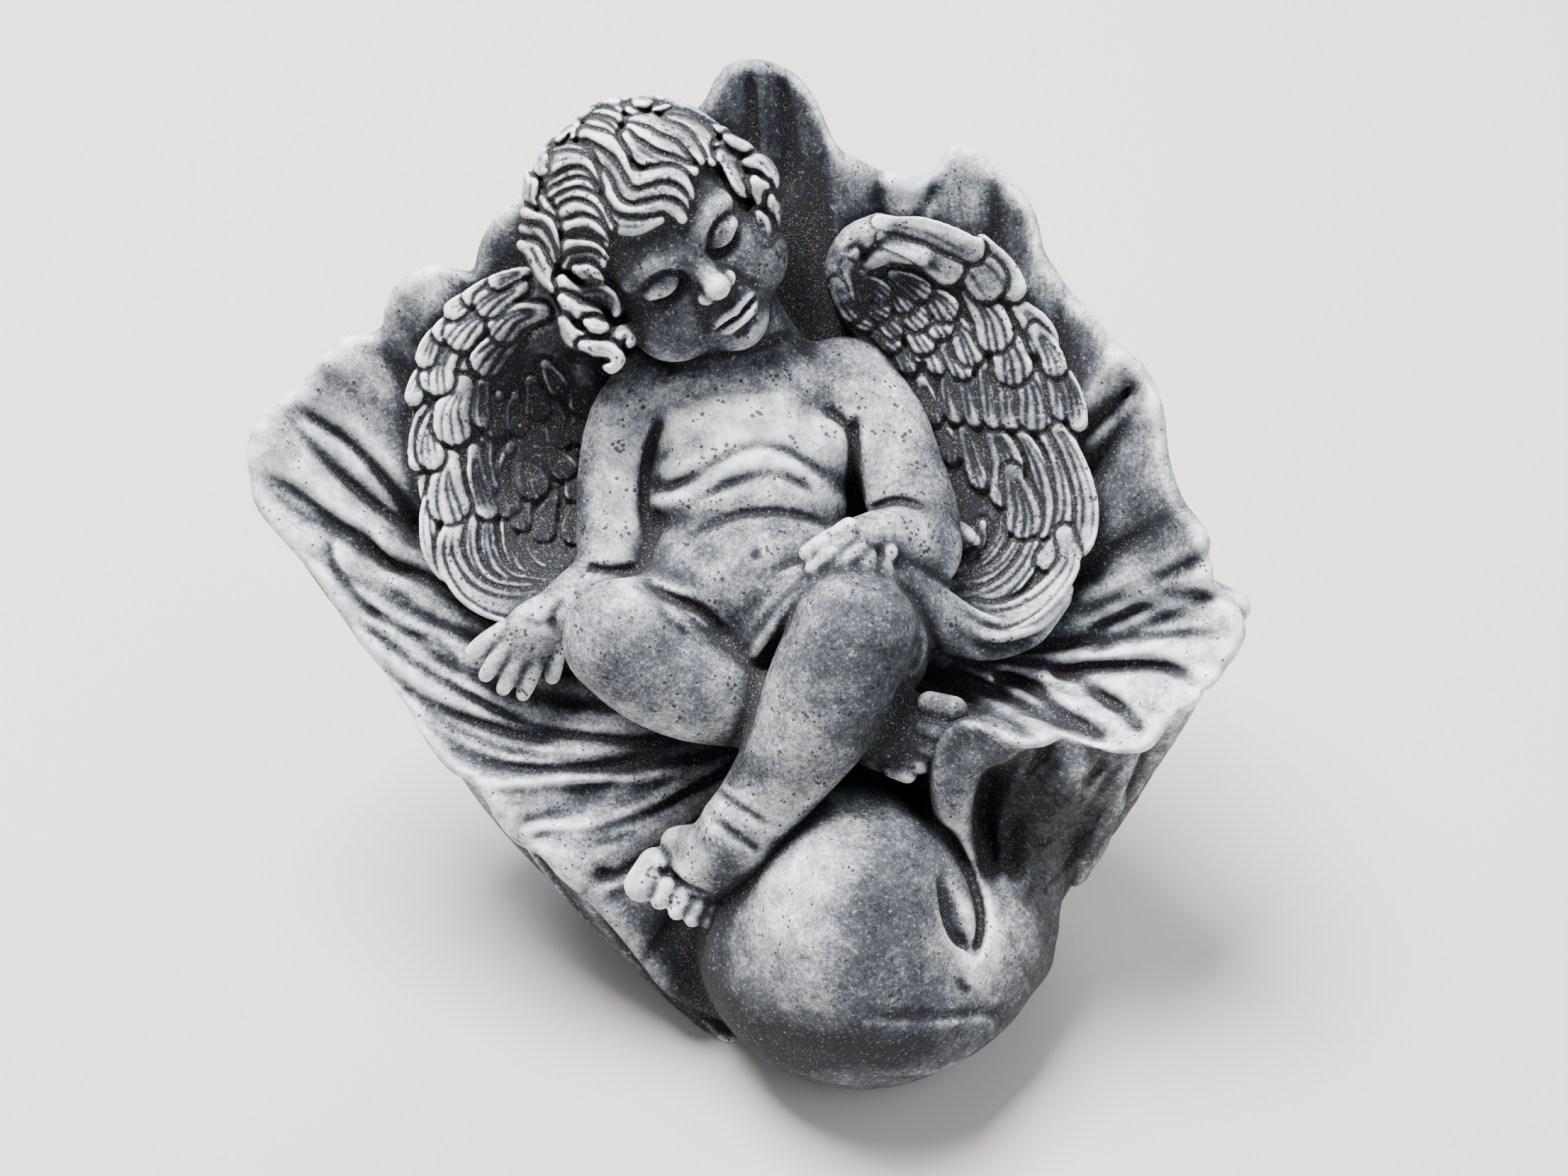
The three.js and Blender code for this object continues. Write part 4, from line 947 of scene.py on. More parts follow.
# Locks seen from the front, as x, y points from root to tip and the lock's half width.
LOCKS = [
    ([(-44, 116), (-40, 114.5), (-36, 115), (-33, 116), (-29, 117), (-25, 116.5)], 1.9),
    ([(-47, 118), (-43, 118.8), (-39, 118), (-37, 116), (-34, 114.8)], 1.6),
    ([(-52, 115.5), (-48, 117.3), (-44, 117.3), (-41, 116.3), (-40, 114.5)], 1.7),
    ([(-56, 112.5), (-51, 114.2), (-46, 114.6), (-42, 114.3), (-38, 112.8)], 1.8),
    ([(-38, 120), (-34, 119), (-30, 118.3), (-26, 119)], 1.8),
    ([(-30, 120.5), (-26, 118), (-22, 118.5), (-18, 116), (-16, 114)], 1.9),
    ([(-46, 120), (-42, 120.3), (-38, 119.5)], 1.5),
    ([(-49, 112), (-45, 112.4), (-42, 111.3), (-39.5, 109.5)], 1.7),
    ([(-31, 115.5), (-27, 116.2), (-23, 115.6), (-20, 113.7), (-17, 112), (-14.2, 110.4), (-13.8, 108.6),
      (-15.5, 108.4)], 2.2), ([(-30, 114), (-25, 113.8), (-21.5, 112), (-18.5, 109.5), (-16, 107.5)], 1.7),
    ([(-31, 112.5), (-27, 111.8), (-23, 110.6), (-20, 108), (-17.6, 105), (-16.8, 102.8)], 2.5),
    ([(-37, 113), (-33, 112.6), (-30, 110.8), (-26.5, 109.4), (-23.5, 107), (-21, 104.4),
      (-20.4, 102.4)], 2.2),
    ([(-37.5, 111.5), (-34.5, 109.5), (-31.5, 107.6), (-28, 106.2), (-25, 104), (-22.2, 102)], 2.0),
    ([(-38.5, 110), (-37, 107.5), (-34, 105), (-30.5, 103.2), (-26.5, 102), (-22.8, 101.3),
      (-20.6, 101.8)], 1.9),
    ([(-60, 104), (-57, 105.5), (-53, 107), (-49.5, 109.8), (-45.5, 111), (-42.5, 109.5), (-41, 106)], 2.2),
    ([(-60.5, 110), (-58, 111), (-55, 112), (-53, 114)], 1.9),
    ([(-55, 109), (-54, 111), (-51.5, 112.5), (-50.3, 110.8), (-52, 109.6)], 1.4),
    ([(-48, 110), (-43.5, 107.5), (-41, 103.5), (-39.5, 99.8), (-36, 98.3), (-32, 98.7), (-28, 99.8),
      (-25.3, 99), (-23.6, 96.5), (-23.2, 93.6)], 2.5),
    ([(-48.5, 107), (-44.5, 103.5), (-42, 99.5), (-39.8, 95.8), (-36, 94), (-32.5, 94.8), (-29.5, 96),
      (-26.8, 95.6), (-24.8, 93.6), (-24, 90.8)], 2.3),
    ([(-48.5, 103), (-45.6, 99.5), (-44, 95.5), (-41.3, 91.8), (-37, 90.2), (-33, 91), (-29.5, 92.4),
      (-26.6, 91.9), (-24.8, 90), (-24.6, 88.4)], 2.2),
    ([(-46.4, 96.5), (-45.4, 93), (-43, 89.5), (-39, 87.9), (-35, 87.9), (-31.5, 89), (-28.8, 90)], 1.8),
    ([(-58.5, 103), (-55.5, 105), (-51.5, 105.9), (-48.5, 104.5), (-47, 102), (-46.6, 100)], 1.6),
    ([(-59, 98), (-57.6, 101), (-54.5, 103.3), (-50.5, 103.4), (-48, 101.3), (-46.4, 98.5),
      (-45.2, 96)], 1.9), ([(-57.5, 96.3), (-54.5, 98.3), (-51, 100), (-48.3, 99.2), (-46.4, 97)], 1.7),
    ([(-58, 94), (-54.5, 95.5), (-50.5, 97.3), (-47.4, 96.4), (-45, 94)], 1.7),
    ([(-57, 92.3), (-53.5, 93.8), (-50, 94.8), (-47, 93.2), (-45, 90.3), (-43.3, 88), (-41.5, 87)], 1.8),
    ([(-57, 90.6), (-54, 90.3), (-51, 91.8), (-48, 90.8), (-46, 88.3), (-44, 86), (-42.6, 83.6)], 1.8),
    ([(-57.5, 88.8), (-55.5, 86.8), (-52, 87.3), (-49, 88.2), (-46, 86.6), (-44, 84.3),
      (-42.6, 82.4)], 1.7),
    ([(-58, 87), (-56, 84.2), (-53, 83.6), (-50, 84.8), (-46, 84), (-42.8, 82)], 1.7),
    ([(-55.5, 81.5), (-52, 82.6), (-48, 82.3), (-45, 81), (-42.6, 79.5)], 1.8),
    ([(-53.5, 78.5), (-50, 79.8), (-46.5, 79.5), (-43.5, 78)], 1.9),
    ([(-60.5, 99), (-60.6, 95), (-58.4, 91.8), (-56.6, 89), (-55, 86)], 1.6),
    ([(-62.3, 103), (-61.6, 99), (-62, 95), (-60.4, 92)], 1.6),
    ([(-61.5, 108), (-59.6, 105.5), (-59.6, 102.5), (-58, 101)], 1.8),
    ([(-63, 91.5), (-61, 89.5), (-58.5, 88.3), (-57.2, 85.3), (-56.3, 82), (-55.4, 79)], 1.9),
    ([(-63.5, 87.5), (-60.5, 86.3), (-58.5, 83), (-57.5, 79.5), (-56, 76)], 1.8),
    ([(-64, 83.5), (-61.3, 82), (-59.6, 78.6), (-57.6, 75), (-55.4, 72)], 1.8),
    ([(-50.5, 77.5), (-47.3, 76.3), (-45.6, 74), (-47, 72.3), (-49.3, 73.2)], 1.8),
    ([(-54, 75), (-52, 72), (-49.5, 70.6), (-46, 71.6), (-43, 70.6), (-41, 68), (-41.2, 65.6)], 2.1),
    ([(-54, 70.5), (-51, 67.8), (-48, 67), (-45.3, 66.3), (-44, 64)], 1.8),
    ([(-53.5, 65), (-51.5, 61.3), (-48, 60), (-44.5, 60.4), (-41, 61), (-38.5, 62.6), (-37, 60.4),
      (-38.6, 58.6)], 2.0),
    ([(-49, 59), (-46, 58.6), (-42.6, 57.8), (-40.6, 55.6), (-42, 53.4), (-44, 54.3)], 1.7),
    ([(-48, 64.5), (-45, 63.6), (-42.6, 63.8)], 1.6),
    ([(-16, 107.5), (-12.6, 106.3), (-10.2, 104.6), (-10.6, 102.6), (-12.8, 102.8)], 1.6),
    ([(-14, 109.5), (-10, 107.6), (-6.4, 105.6)], 1.3),
    ([(-15.5, 105.5), (-12.6, 102.6), (-11, 99.4), (-9.2, 97.2), (-7.6, 98.6), (-7.2, 101.3),
      (-8, 103.2)], 1.9), ([(-9, 103.6), (-6, 103.6), (-3.6, 101.2), (-3, 97.6), (-4.2, 95)], 1.8),
    ([(-7, 99), (-5.4, 96.2), (-4.8, 93.4), (-6, 91.4), (-7.6, 92.6)], 2.0),
    ([(-3.2, 95), (-2.6, 91), (-3.4, 87), (-4.6, 84)], 1.7), ([(-6, 91), (-4.6, 87.5), (-4.8, 84)], 1.5),
]
# Where the hair stands fuller than the scalp, behind its locks: x, y, z and radius in the carving frame.
CLUMPS = [
    [(-58, 97, 12, 7), (-58, 86, 14, 8), (-54, 75, 18, 8.5), (-49, 66, 23, 7.5), (-44, 60, 27, 4.5)],
    [(-13, 106, 24, 5), (-8, 100, 24, 5.5), (-6, 92, 22, 4.5), (-5, 86, 20, 3.5)],
]
# The edge of the hair round the face, in the head's frame.
HAIRLINE = [
    (-20, -40), (-21.5, -18), (-21.5, -4), (-19.5, 6), (-17, 12), (-8, 14), (0, 13), (6, 12.5), (10, 16),
    (15, 19.5), (18.5, 16), (20.5, 8), (21.5, -2), (21, -16), (18, -40),
]
# Rows of locks at the back: where each starts and ends, in degrees from the crown, and how many it has.
BACK_ROWS = ((6, 40, 14), (28, 70, 24), (56, 98, 32), (84, 126, 30), (108, 146, 24))


def to_scalp(x, y, z):
    """Distance to the scalp, from places in the head's frame."""
    centre, radii = SCALP
    return ellipsoid(x - centre[0], y - centre[1], z - centre[2], radii)


def face(clay):
    """A calm, round, sleeping child's face, the same on both sides of its middle."""
    clay.ball((0, -8, 3), (21.5, 23, 21), blend=4)
    clay.ball((0, 6, 1), (21.5, 18, 23), blend=5)
    for side in (-1, 1):
        clay.ball((side * 11.5, -13.5, 11.5), (11.5, 11.5, 10.5), blend=5)
        clay.ball((side * 9.5, -1.5, 22), (7.5, 4.2, 3.5), blend=2.5, cut=True)
        clay.ball((side * 9.4, -1.2, 19.6), (5.4, 3.9, 4.2), blend=1.0)
        clay.tube([(side * 4.2, 3.2, 22.6, 1.8), (side * 9.5, 5.2, 21.8, 2.0), (side * 15, 3.4, 17.8, 1.8)])
    clay.ball((0, -25, 15.5), (7.5, 6.5, 7), blend=5)
    clay.ball((0, -18, 17), (9, 6, 7), blend=4)
    clay.tube([(0, 3, 21.4, 2.6), (0, -3, 24, 2.5), (0, -7.4, 27, 3.0)], blend=3)
    clay.ball((0, -8.4, 27.4), (3.3, 2.9, 3), blend=1.2)
    for side in (-1, 1):
        clay.ball((side * 3.4, -9.4, 24.8), (2.3, 2.1, 2.4), blend=1)
        clay.ball((side * 1.9, -11.2, 25.8), (1.0, 0.8, 1.3), blend=0.5, cut=True)
        clay.ball((side * 3.4, -17.4, 23.3), (3.8, 1.5, 2.0), turn=(0, side * 22, side * -9), blend=1.2)
        clay.ball((side * 2.2, -20.4, 23.2), (3.2, 1.7, 2.2), turn=(0, side * 16, 0), blend=1.4)
    clay.ball((0, -17.6, 24.5), (1.7, 1.3, 1.7), blend=0.8)
    clay.crease([(0, -12.5), (0, -15.5)], 1.1, 0.8, above=14)
    clay.crease([(-7, -19.2), (-3.5, -18.7), (0, -19.2), (3.5, -18.7), (7, -19.2)], 0.6, 1.9, above=14)
    clay.crease([(-4, -23.4), (0, -23.8), (4, -23.4)], 1.3, 0.8, above=12)
    for side in (-1, 1):
        lid = [(side * 4.2, -2.4), (side * 7, -4.2), (side * 10.5, -4.4), (side * 14.5, -2.2)]
        clay.crease(lid, 0.6, 1.5, above=10)
        crease = [(side * 4.6, -0.4), (side * 8, 2.6), (side * 12, 2.4), (side * 15, 0)]
        clay.crease(crease, 0.8, 0.8, above=10)
        clay.crease([(side * 4.8, -10), (side * 7.5, -15), (side * 8.4, -19)], 1.7, 0.6, above=8)


def cap(clay):
    """The cap of hair under the locks, open in front of the face."""
    place, x, y, z = clay.whole()
    opening = np.maximum(outline_distance(flowing(HAIRLINE, 4, closed=True), x, y), 3 - z)
    clay.add(place, np.maximum(to_scalp(x, y, z) + 2.6, -opening), 0.6)


def back_locks(clay):
    """Locks at the back and the sides, which fall from the crown in waves."""
    centre, radii = SCALP
    rng = np.random.default_rng(3)
    crown = unit((0, 0.75, -0.66))
    side = np.array((1.0, 0, 0))
    brow = np.cross(side, crown)
    taper = np.interp(np.linspace(0, 1, 7), [0, 0.2, 0.7, 1], [0.7, 1, 1, 0.55])
    for start, end, count in BACK_ROWS:
        for k in range(count):
            turn = 360 * (k + 0.5 * (start // 8 % 2)) / count
            phase = rng.uniform(0, 6.28)
            places, facings = [], []
            for s in np.linspace(0, 1, 7):
                down = math.radians(start + (end - start) * s)
                sway = math.radians(turn + (150 / count) * math.sin(s * 5.5 + phase))
                across = brow * math.cos(sway) + side * math.sin(sway)
                direction = crown * math.cos(down) + across * math.sin(down)
                p = direction / np.linalg.norm(direction / radii)
                facings.append(unit(p / radii ** 2))
                places.append(centre + p + facings[-1] * 0.5)
            faces_viewer = (np.array(HEAD)[:3, :3] @ facings[3])[2] > 0.12
            over_face = places[3][2] > 12 and places[3][1] < 16
            if faces_viewer or over_face:
                continue
            width = rng.uniform(2.2, 3.0)
            clay.ribbon(np.column_stack([places, width * taper, 1.9 * taper]), facings, strands=3.0)


def front_locks(clay):
    """The locks that are seen from in front, laid over one another and cut into fuller hair."""
    relief = Relief((-70, 46), (4, 126), 0.28)
    taper = ([0, 0.2, 0.65, 1], [0.6, 1, 1, 0.45])
    for i, (path, width) in enumerate(LOCKS):
        strands = (-0.34, 0.3) if width > 1.85 else (0.05 - 0.1 * (i % 2),)
        relief.lay(path, width * 1.38, 2.0 + 0.4 * (i * 7 % 5), 2.0 + 0.4 * (i * 3 % 4), 1.7, taper, moat=1.9,
                   lines=strands, depth=0.35, blunt=0.5)
    relief.top = np.maximum(relief.top, 0)
    place, x, y, z = clay.whole()
    turn, shift = np.array(HEAD)[:3, :3], np.array(HEAD)[:3, 3]
    seen = [turn[k, 0] * x + turn[k, 1] * y + turn[k, 2] * z + shift[k] for k in range(3)]
    larger = looks_larger(seen[2], LOCKS_DRAWN_AT)
    px, py = seen[0] * larger, seen[1] * larger
    front = (seen[0] - shift[0]) * 0.05 + (seen[2] - shift[2]) - 0.15 * (seen[1] - shift[1])
    full = copy(clay)
    full.field = np.minimum(to_scalp(x, y, z) + 3.2, FAR).astype(np.float32)
    for clump in CLUMPS:
        stations = np.array(clump, float)
        stations[:, :3] = moved(stations[:, :3], HEAD.inverted())
        full.tube(stations, blend=6)
    bounds = np.maximum(relief.look(relief.cover, px, py), -front - 6)
    clay.add(place, np.maximum(full.field - relief.look(relief.top, px, py), bounds), 0.3)

    def draw_ink(points):
        larger = looks_larger(points[:, 2], LOCKS_DRAWN_AT)
        in_front = smoothstep(points[:, 2] - shift[2], -6, 0)
        return relief.look(relief.ink, points[:, 0] * larger, points[:, 1] * larger) * in_front

    clay.ink = draw_ink


def sculpt_head():
    clay = Clay((-38, -42, -42), (38, 38, 38), 0.45, HEAD)
    face(clay)
    cap(clay)
    back_locks(clay)
    front_locks(clay)
    clay.relax()
    return clay


# ------------------------------------------------------------------------------------------------
# From clay to pieces
# ------------------------------------------------------------------------------------------------
def filled(clay):
    """How much of each voxel is full, from 0 to 1."""
    return np.clip(0.5 - clay.field / clay.voxel, 0, 1).astype(np.float32)


class Surroundings:
    """How far each place is hidden in a hollow: the share of solid near it, at two sizes."""

    def __init__(self, base, others):
        self.low, self.voxel = base.low, base.voxel
        together = copy(base)
        together.field = base.field.copy()
        for clay in others:
            size = (np.array(clay.field.shape) - 1) * clay.voxel
            corners = np.array([clay.frame @ Vector(clay.low + np.array(c) * size)
                                for c in np.ndindex(2, 2, 2)])
            place, x, y, z = base.window(corners.min(0), corners.max(0))
            shape = np.broadcast_shapes(x.shape, y.shape, z.shape)
            points = np.stack([np.broadcast_to(a, shape).ravel() for a in (x, y, z)], 1)
            there = clay.at(moved(points, clay.frame.inverted()))
            together.field[place] = np.minimum(together.field[place], there.reshape(shape))
        solid = filled(together)
        a, b, c = (s // 2 for s in solid.shape)
        half = solid[:2 * a, :2 * b, :2 * c].reshape(a, 2, b, 2, c, 2).mean(axis=(1, 3, 5))
        self.near = blur(solid, max(1, round(2.2 / self.voxel)))
        self.wide = blur(half, max(1, round(6.4 / (2 * self.voxel))))

    def hollow(self, points):
        """At each point, how hidden it is at both sizes: above 0 in a hollow, below 0 on what stands out."""
        near = 2 * sample(self.near, self.low, self.voxel, points) - 1
        wide = 2 * sample(self.wide, self.low + self.voxel / 2, self.voxel * 2, points) - 1
        return np.where(near > 0, near, 0.6 * near), np.where(wide > 0, 1.3 * wide, 0.25 * wide)


def only(piece):
    """Selects one piece and nothing else."""
    bpy.ops.object.select_all(action="DESELECT")
    piece.select_set(True)
    bpy.context.view_layer.objects.active = piece


def new_mesh(name, points, quads):
    """A mesh of quads."""
    mesh = bpy.data.meshes.new(name)
    mesh.vertices.add(len(points))
    mesh.vertices.foreach_set("co", points.ravel())
    mesh.loops.add(quads.size)
    mesh.loops.foreach_set("vertex_index", quads.ravel().astype(np.int32))
    mesh.polygons.add(len(quads))
    mesh.polygons.foreach_set("loop_start", np.arange(0, quads.size, 4, dtype=np.int32))
    mesh.update(calc_edges=True)
    mesh.validate()
    return mesh


def store(mesh, name, values):
    """Keeps three values for each of the mesh's points, for its finish to read."""
    attribute = mesh.attributes.new(name, "FLOAT_VECTOR", "POINT")
    attribute.data.foreach_set("vector", np.ascontiguousarray(values, np.float32).ravel())


def cast(name, clay, around, limit, tone, flow):
    """Turns clay into a finished piece of the casting, with what its finish needs kept on its surface."""
    points, quads = clay.skin()
    mesh = new_mesh(name, moved(points, UPRIGHT) * MM, quads)
    piece = bpy.data.objects.new(name, mesh)
    bpy.context.scene.collection.objects.link(piece)
    only(piece)
    if 2 * len(quads) > limit:
        modifier = piece.modifiers.new("Lighten", "DECIMATE")
        modifier.ratio = limit / (2 * len(quads))
        bpy.ops.object.modifier_apply(modifier=modifier.name)
    bpy.ops.object.shade_smooth()
    mesh = piece.data
    placed = np.empty(len(mesh.vertices) * 3)
    mesh.vertices.foreach_get("co", placed)
    carved = moved(placed.reshape(-1, 3) / MM, UPRIGHT.inverted())
    solid = blur(filled(clay), max(1, round(0.9 / clay.voxel)))
    fine = 2 * sample(solid, clay.low, clay.voxel, moved(carved, clay.frame.inverted())) - 1
    store(mesh, "hollow", np.stack([fine, *around.hollow(carved)], 1))
    store(mesh, "carved", carved * MM)
    masks = tone(carved)
    masks[:, 2] += 1.1 * clay.ink(carved)
    store(mesh, "tone", masks)
    store(mesh, "flow", flow(carved))
    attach(piece, "root")
    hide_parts(CAST)
    return piece


# Where the wash was left on or painted shade is laid (positive), or the wash wiped off or painted highlights
# laid (negative), as on the low bulb, the flank, behind the head, in the wings and on the chest: x, y, half
# width, half height, amount.
WASH_AND_PAINTED_LIGHT = [
    (-13, 44, 28, 16, -0.75), (-12, 6, 18, 8, 0.0), (20, -4, 12, 10, 0.25), (-43, 24, 8, 22, -0.45),
    (30, 34, 8, 18, -0.15), (22, -12, 13, 14, 0.45), (-28, -26, 14, 10, 0.15), (6, -24, 8, 10, 0.15),
    (-3, -46, 8, 20, -0.1), (-42, -16, 14, 10, 0.15), (6, 2, 12, 4, -0.2), (2, -80, 11, 20, -0.35),
    (26, -86, 12, 20, 0.4), (14, -114, 32, 9, 0.85), (-22, -108, 9, 8, 0.7), (53, -90, 9, 12, -0.7),
    (43, -31, 7, 5, 0.6), (-40, 98, 26, 26, 0.22), (58, 40, 26, 50, 0.2), (-74, 30, 22, 50, 0.2),
    (-40, -14, 14, 14, 0.2), (12, -12, 12, 16, 0.15), (20, -80, 24, 24, 0.15), (4, -66, 14, 10, -0.3),
    (-14, -72, 5, 10, 0.8), (-19, -90, 6, 12, 0.9), (-6, 124, 15, 20, 0.65), (7, 92, 11, 24, 1.1),
    (58, 88, 9, 16, 0.5), (24, 102, 12, 7, -0.2), (99, 14, 10, 14, 0.45), (82, 30, 6, 16, 0.2),
    (66, -60, 14, 18, 1.0), (54, -56, 6, 14, 0.8), (-116, 34, 22, 24, -0.6), (-88, -12, 26, 18, -0.25),
    (92, -16, 28, 16, -0.75), (-58, -58, 24, 9, -0.5), (-24, -76, 14, 10, -0.4), (33, -37, 16, 13, 1.0),
    (-68, -21, 10, 7, 0.3), (-85, 44, 6, 34, -0.35), (58, 60, 12, 30, -0.2), (-20, -44, 26, 5, 0.7),
    (60, -17, 18, 6, 1.0), (-97, 24, 4, 24, 0.7), (79, 4, 5, 12, 0.6), (75, 62, 5, 14, 0.5),
    (-73, 88, 8, 8, 0.5), (-62, 32, 13, 28, 0.95), (46, 26, 8, 22, 0.5), (26, 70, 14, 8, 0.35),
    (-24, 74, 22, 22, 0.60), (-40, 66, 14, 14, 0.3), (-98, 62, 6, 14, 0.3), (-8, 58, 22, 4, 0.5),
    (-10, -112, 14, 8, 0.4),
]


def wash_and_painted_light(points):
    """How much wash was left on at each point, together with the painted shade and painted highlights."""
    x, y, _ = points.T
    return sum(amount * bump((x - cx) / rx) * bump((y - cy) / ry) for cx, cy, rx, ry, amount in WASH_AND_PAINTED_LIGHT)


def no_flow(points):
    return np.zeros((len(points), 3))


def shell_flow(points):
    """Where each point lies across and along the shell's folds."""
    dx, dy = points[:, 0] - CENTRE[0], points[:, 1] - CENTRE[1]
    here = np.degrees(np.arctan2(dy, dx)) % 360
    share = np.clip(np.hypot(dx, dy) / rim_reach(here), 0, 1.1)
    table = np.array(FOLDS, float)
    angle = here
    for _ in range(3):
        turn = np.interp(angle % 360, table[:, 0], table[:, 1], period=360)
        angle = here - turn * np.clip((1 - share) / 0.5, 0, 1.2)
    across = np.radians(angle)
    return np.stack([np.cos(across), np.sin(across), share], 1)


def shell_tone(points):
    """Warmth on the whorl's crown, the rough flank, and the wash with painted shade and highlights, as three
    masks.
    """
    x, y, z = points.T
    egg = np.sqrt(((x - 17) / 34) ** 2 + ((y + 84) / 42) ** 2)
    warm = 1 - smoothstep(egg, 0.85, 1.25)
    flank = smoothstep(x, 54, 62) * smoothstep(-y, 38, 46) * smoothstep(32 - z, 0, 6)
    # darker towards the shell's back and lower end: partly the wash, partly painted shade
    back = smoothstep(-z - y * 0.5, 15, 60)
    return np.stack([warm, flank, wash_and_painted_light(points) + 0.5 * back], 1)


def body_tone(points):
    """The same masks on the body, which is warm from the lap down."""
    return np.stack([0.8 * smoothstep(-points[:, 1], 8, 30), 0 * points[:, 0], wash_and_painted_light(points)], 1)


def plain_tone(points):
    """The same masks where there are the wash and its painted shade and highlights alone."""
    return np.stack([0 * points[:, 0], 0 * points[:, 0], wash_and_painted_light(points)], 1)


# ------------------------------------------------------------------------------------------------
# The finish
# ------------------------------------------------------------------------------------------------
class Tree:
    """A small helper that adds nodes to a material or a group and joins them."""

    def __init__(self, tree):
        self.tree = tree

    def feed(self, socket, value):
        """Links a socket to another one, or sets its value."""
        if isinstance(value, bpy.types.NodeSocket):
            self.tree.links.new(value, socket)
        else:
            socket.default_value = value

    def add(self, kind, inputs=(), **settings):
        node = self.tree.nodes.new(kind)
        for name, value in settings.items():
            setattr(node, name, value)
        for key, value in dict(inputs).items():
            self.feed(node.inputs[key], value)
        return node

    def math(self, operation, a, b=0.0, c=0.0, clamp=False):
        node = self.add("ShaderNodeMath", {0: a, 1: b, 2: c}, operation=operation, use_clamp=clamp)
        return node.outputs[0]

    def times(self, a, b, clamp=False):
        return self.math("MULTIPLY", a, b, clamp=clamp)

    def sway(self, value, noise, amount):
        """A value moved up and down by a noise that goes from 0 to 1."""
        return self.math("MULTIPLY_ADD", self.math("SUBTRACT", noise, 0.5), amount, value)

    def ramp(self, value, low, high):
        return self.add("ShaderNodeMapRange", {"Value": value, "From Min": low, "From Max": high},
                        interpolation_type="SMOOTHSTEP").outputs["Result"]

    def noise(self, vector, scale, detail=3.0, rough=0.55):
        inputs = {"Vector": vector, "Scale": scale, "Detail": detail, "Roughness": rough}
        return self.add("ShaderNodeTexNoise", inputs).outputs["Fac"]

    def mix(self, factor, a, b, mode="MIX"):
        node = self.add("ShaderNodeMix", {0: factor}, data_type="RGBA", blend_type=mode)
        self.feed(node.inputs[6], a)
        self.feed(node.inputs[7], b)
        return node.outputs[2]

    def attribute(self, name):
        """A stored attribute, whole and as its three parts."""
        node = self.add("ShaderNodeAttribute", attribute_name=name)
        parts = self.add("ShaderNodeSeparateXYZ", {0: node.outputs["Vector"]})
        return node.outputs["Vector"], parts.outputs


def standing_out(t, given, hollow, tone, noises):
    """How far a place stands out, from -1 to 1: what the wash and the dry brushing go by."""
    out = t.math("MULTIPLY_ADD", hollow[1], -1.6, 0.06)
    out = t.math("SUBTRACT", out, t.times(hollow[0], given["Detail"]))
    out = t.math("MULTIPLY_ADD", hollow[2], -0.9, out)
    for noise, amount in zip(noises, (1.0, 1.1, 1.1, 0.9)):
        out = t.sway(out, noise, amount)
    # the third mask: the wash left on, with painted shade and painted highlights
    out = t.math("MULTIPLY_ADD", tone[2], -0.8, out)
    flow, _ = t.attribute("flow")
    stretched = t.add("ShaderNodeMapping", {"Vector": flow, "Scale": (26.0, 26.0, 1.6)}, vector_type="POINT")
    lines = t.noise(stretched.outputs[0], 2.2, 4.0, 0.6)
    return t.sway(out, lines, t.times(t.math("SUBTRACT", 1.0, tone[0]), given["Streaks"]))


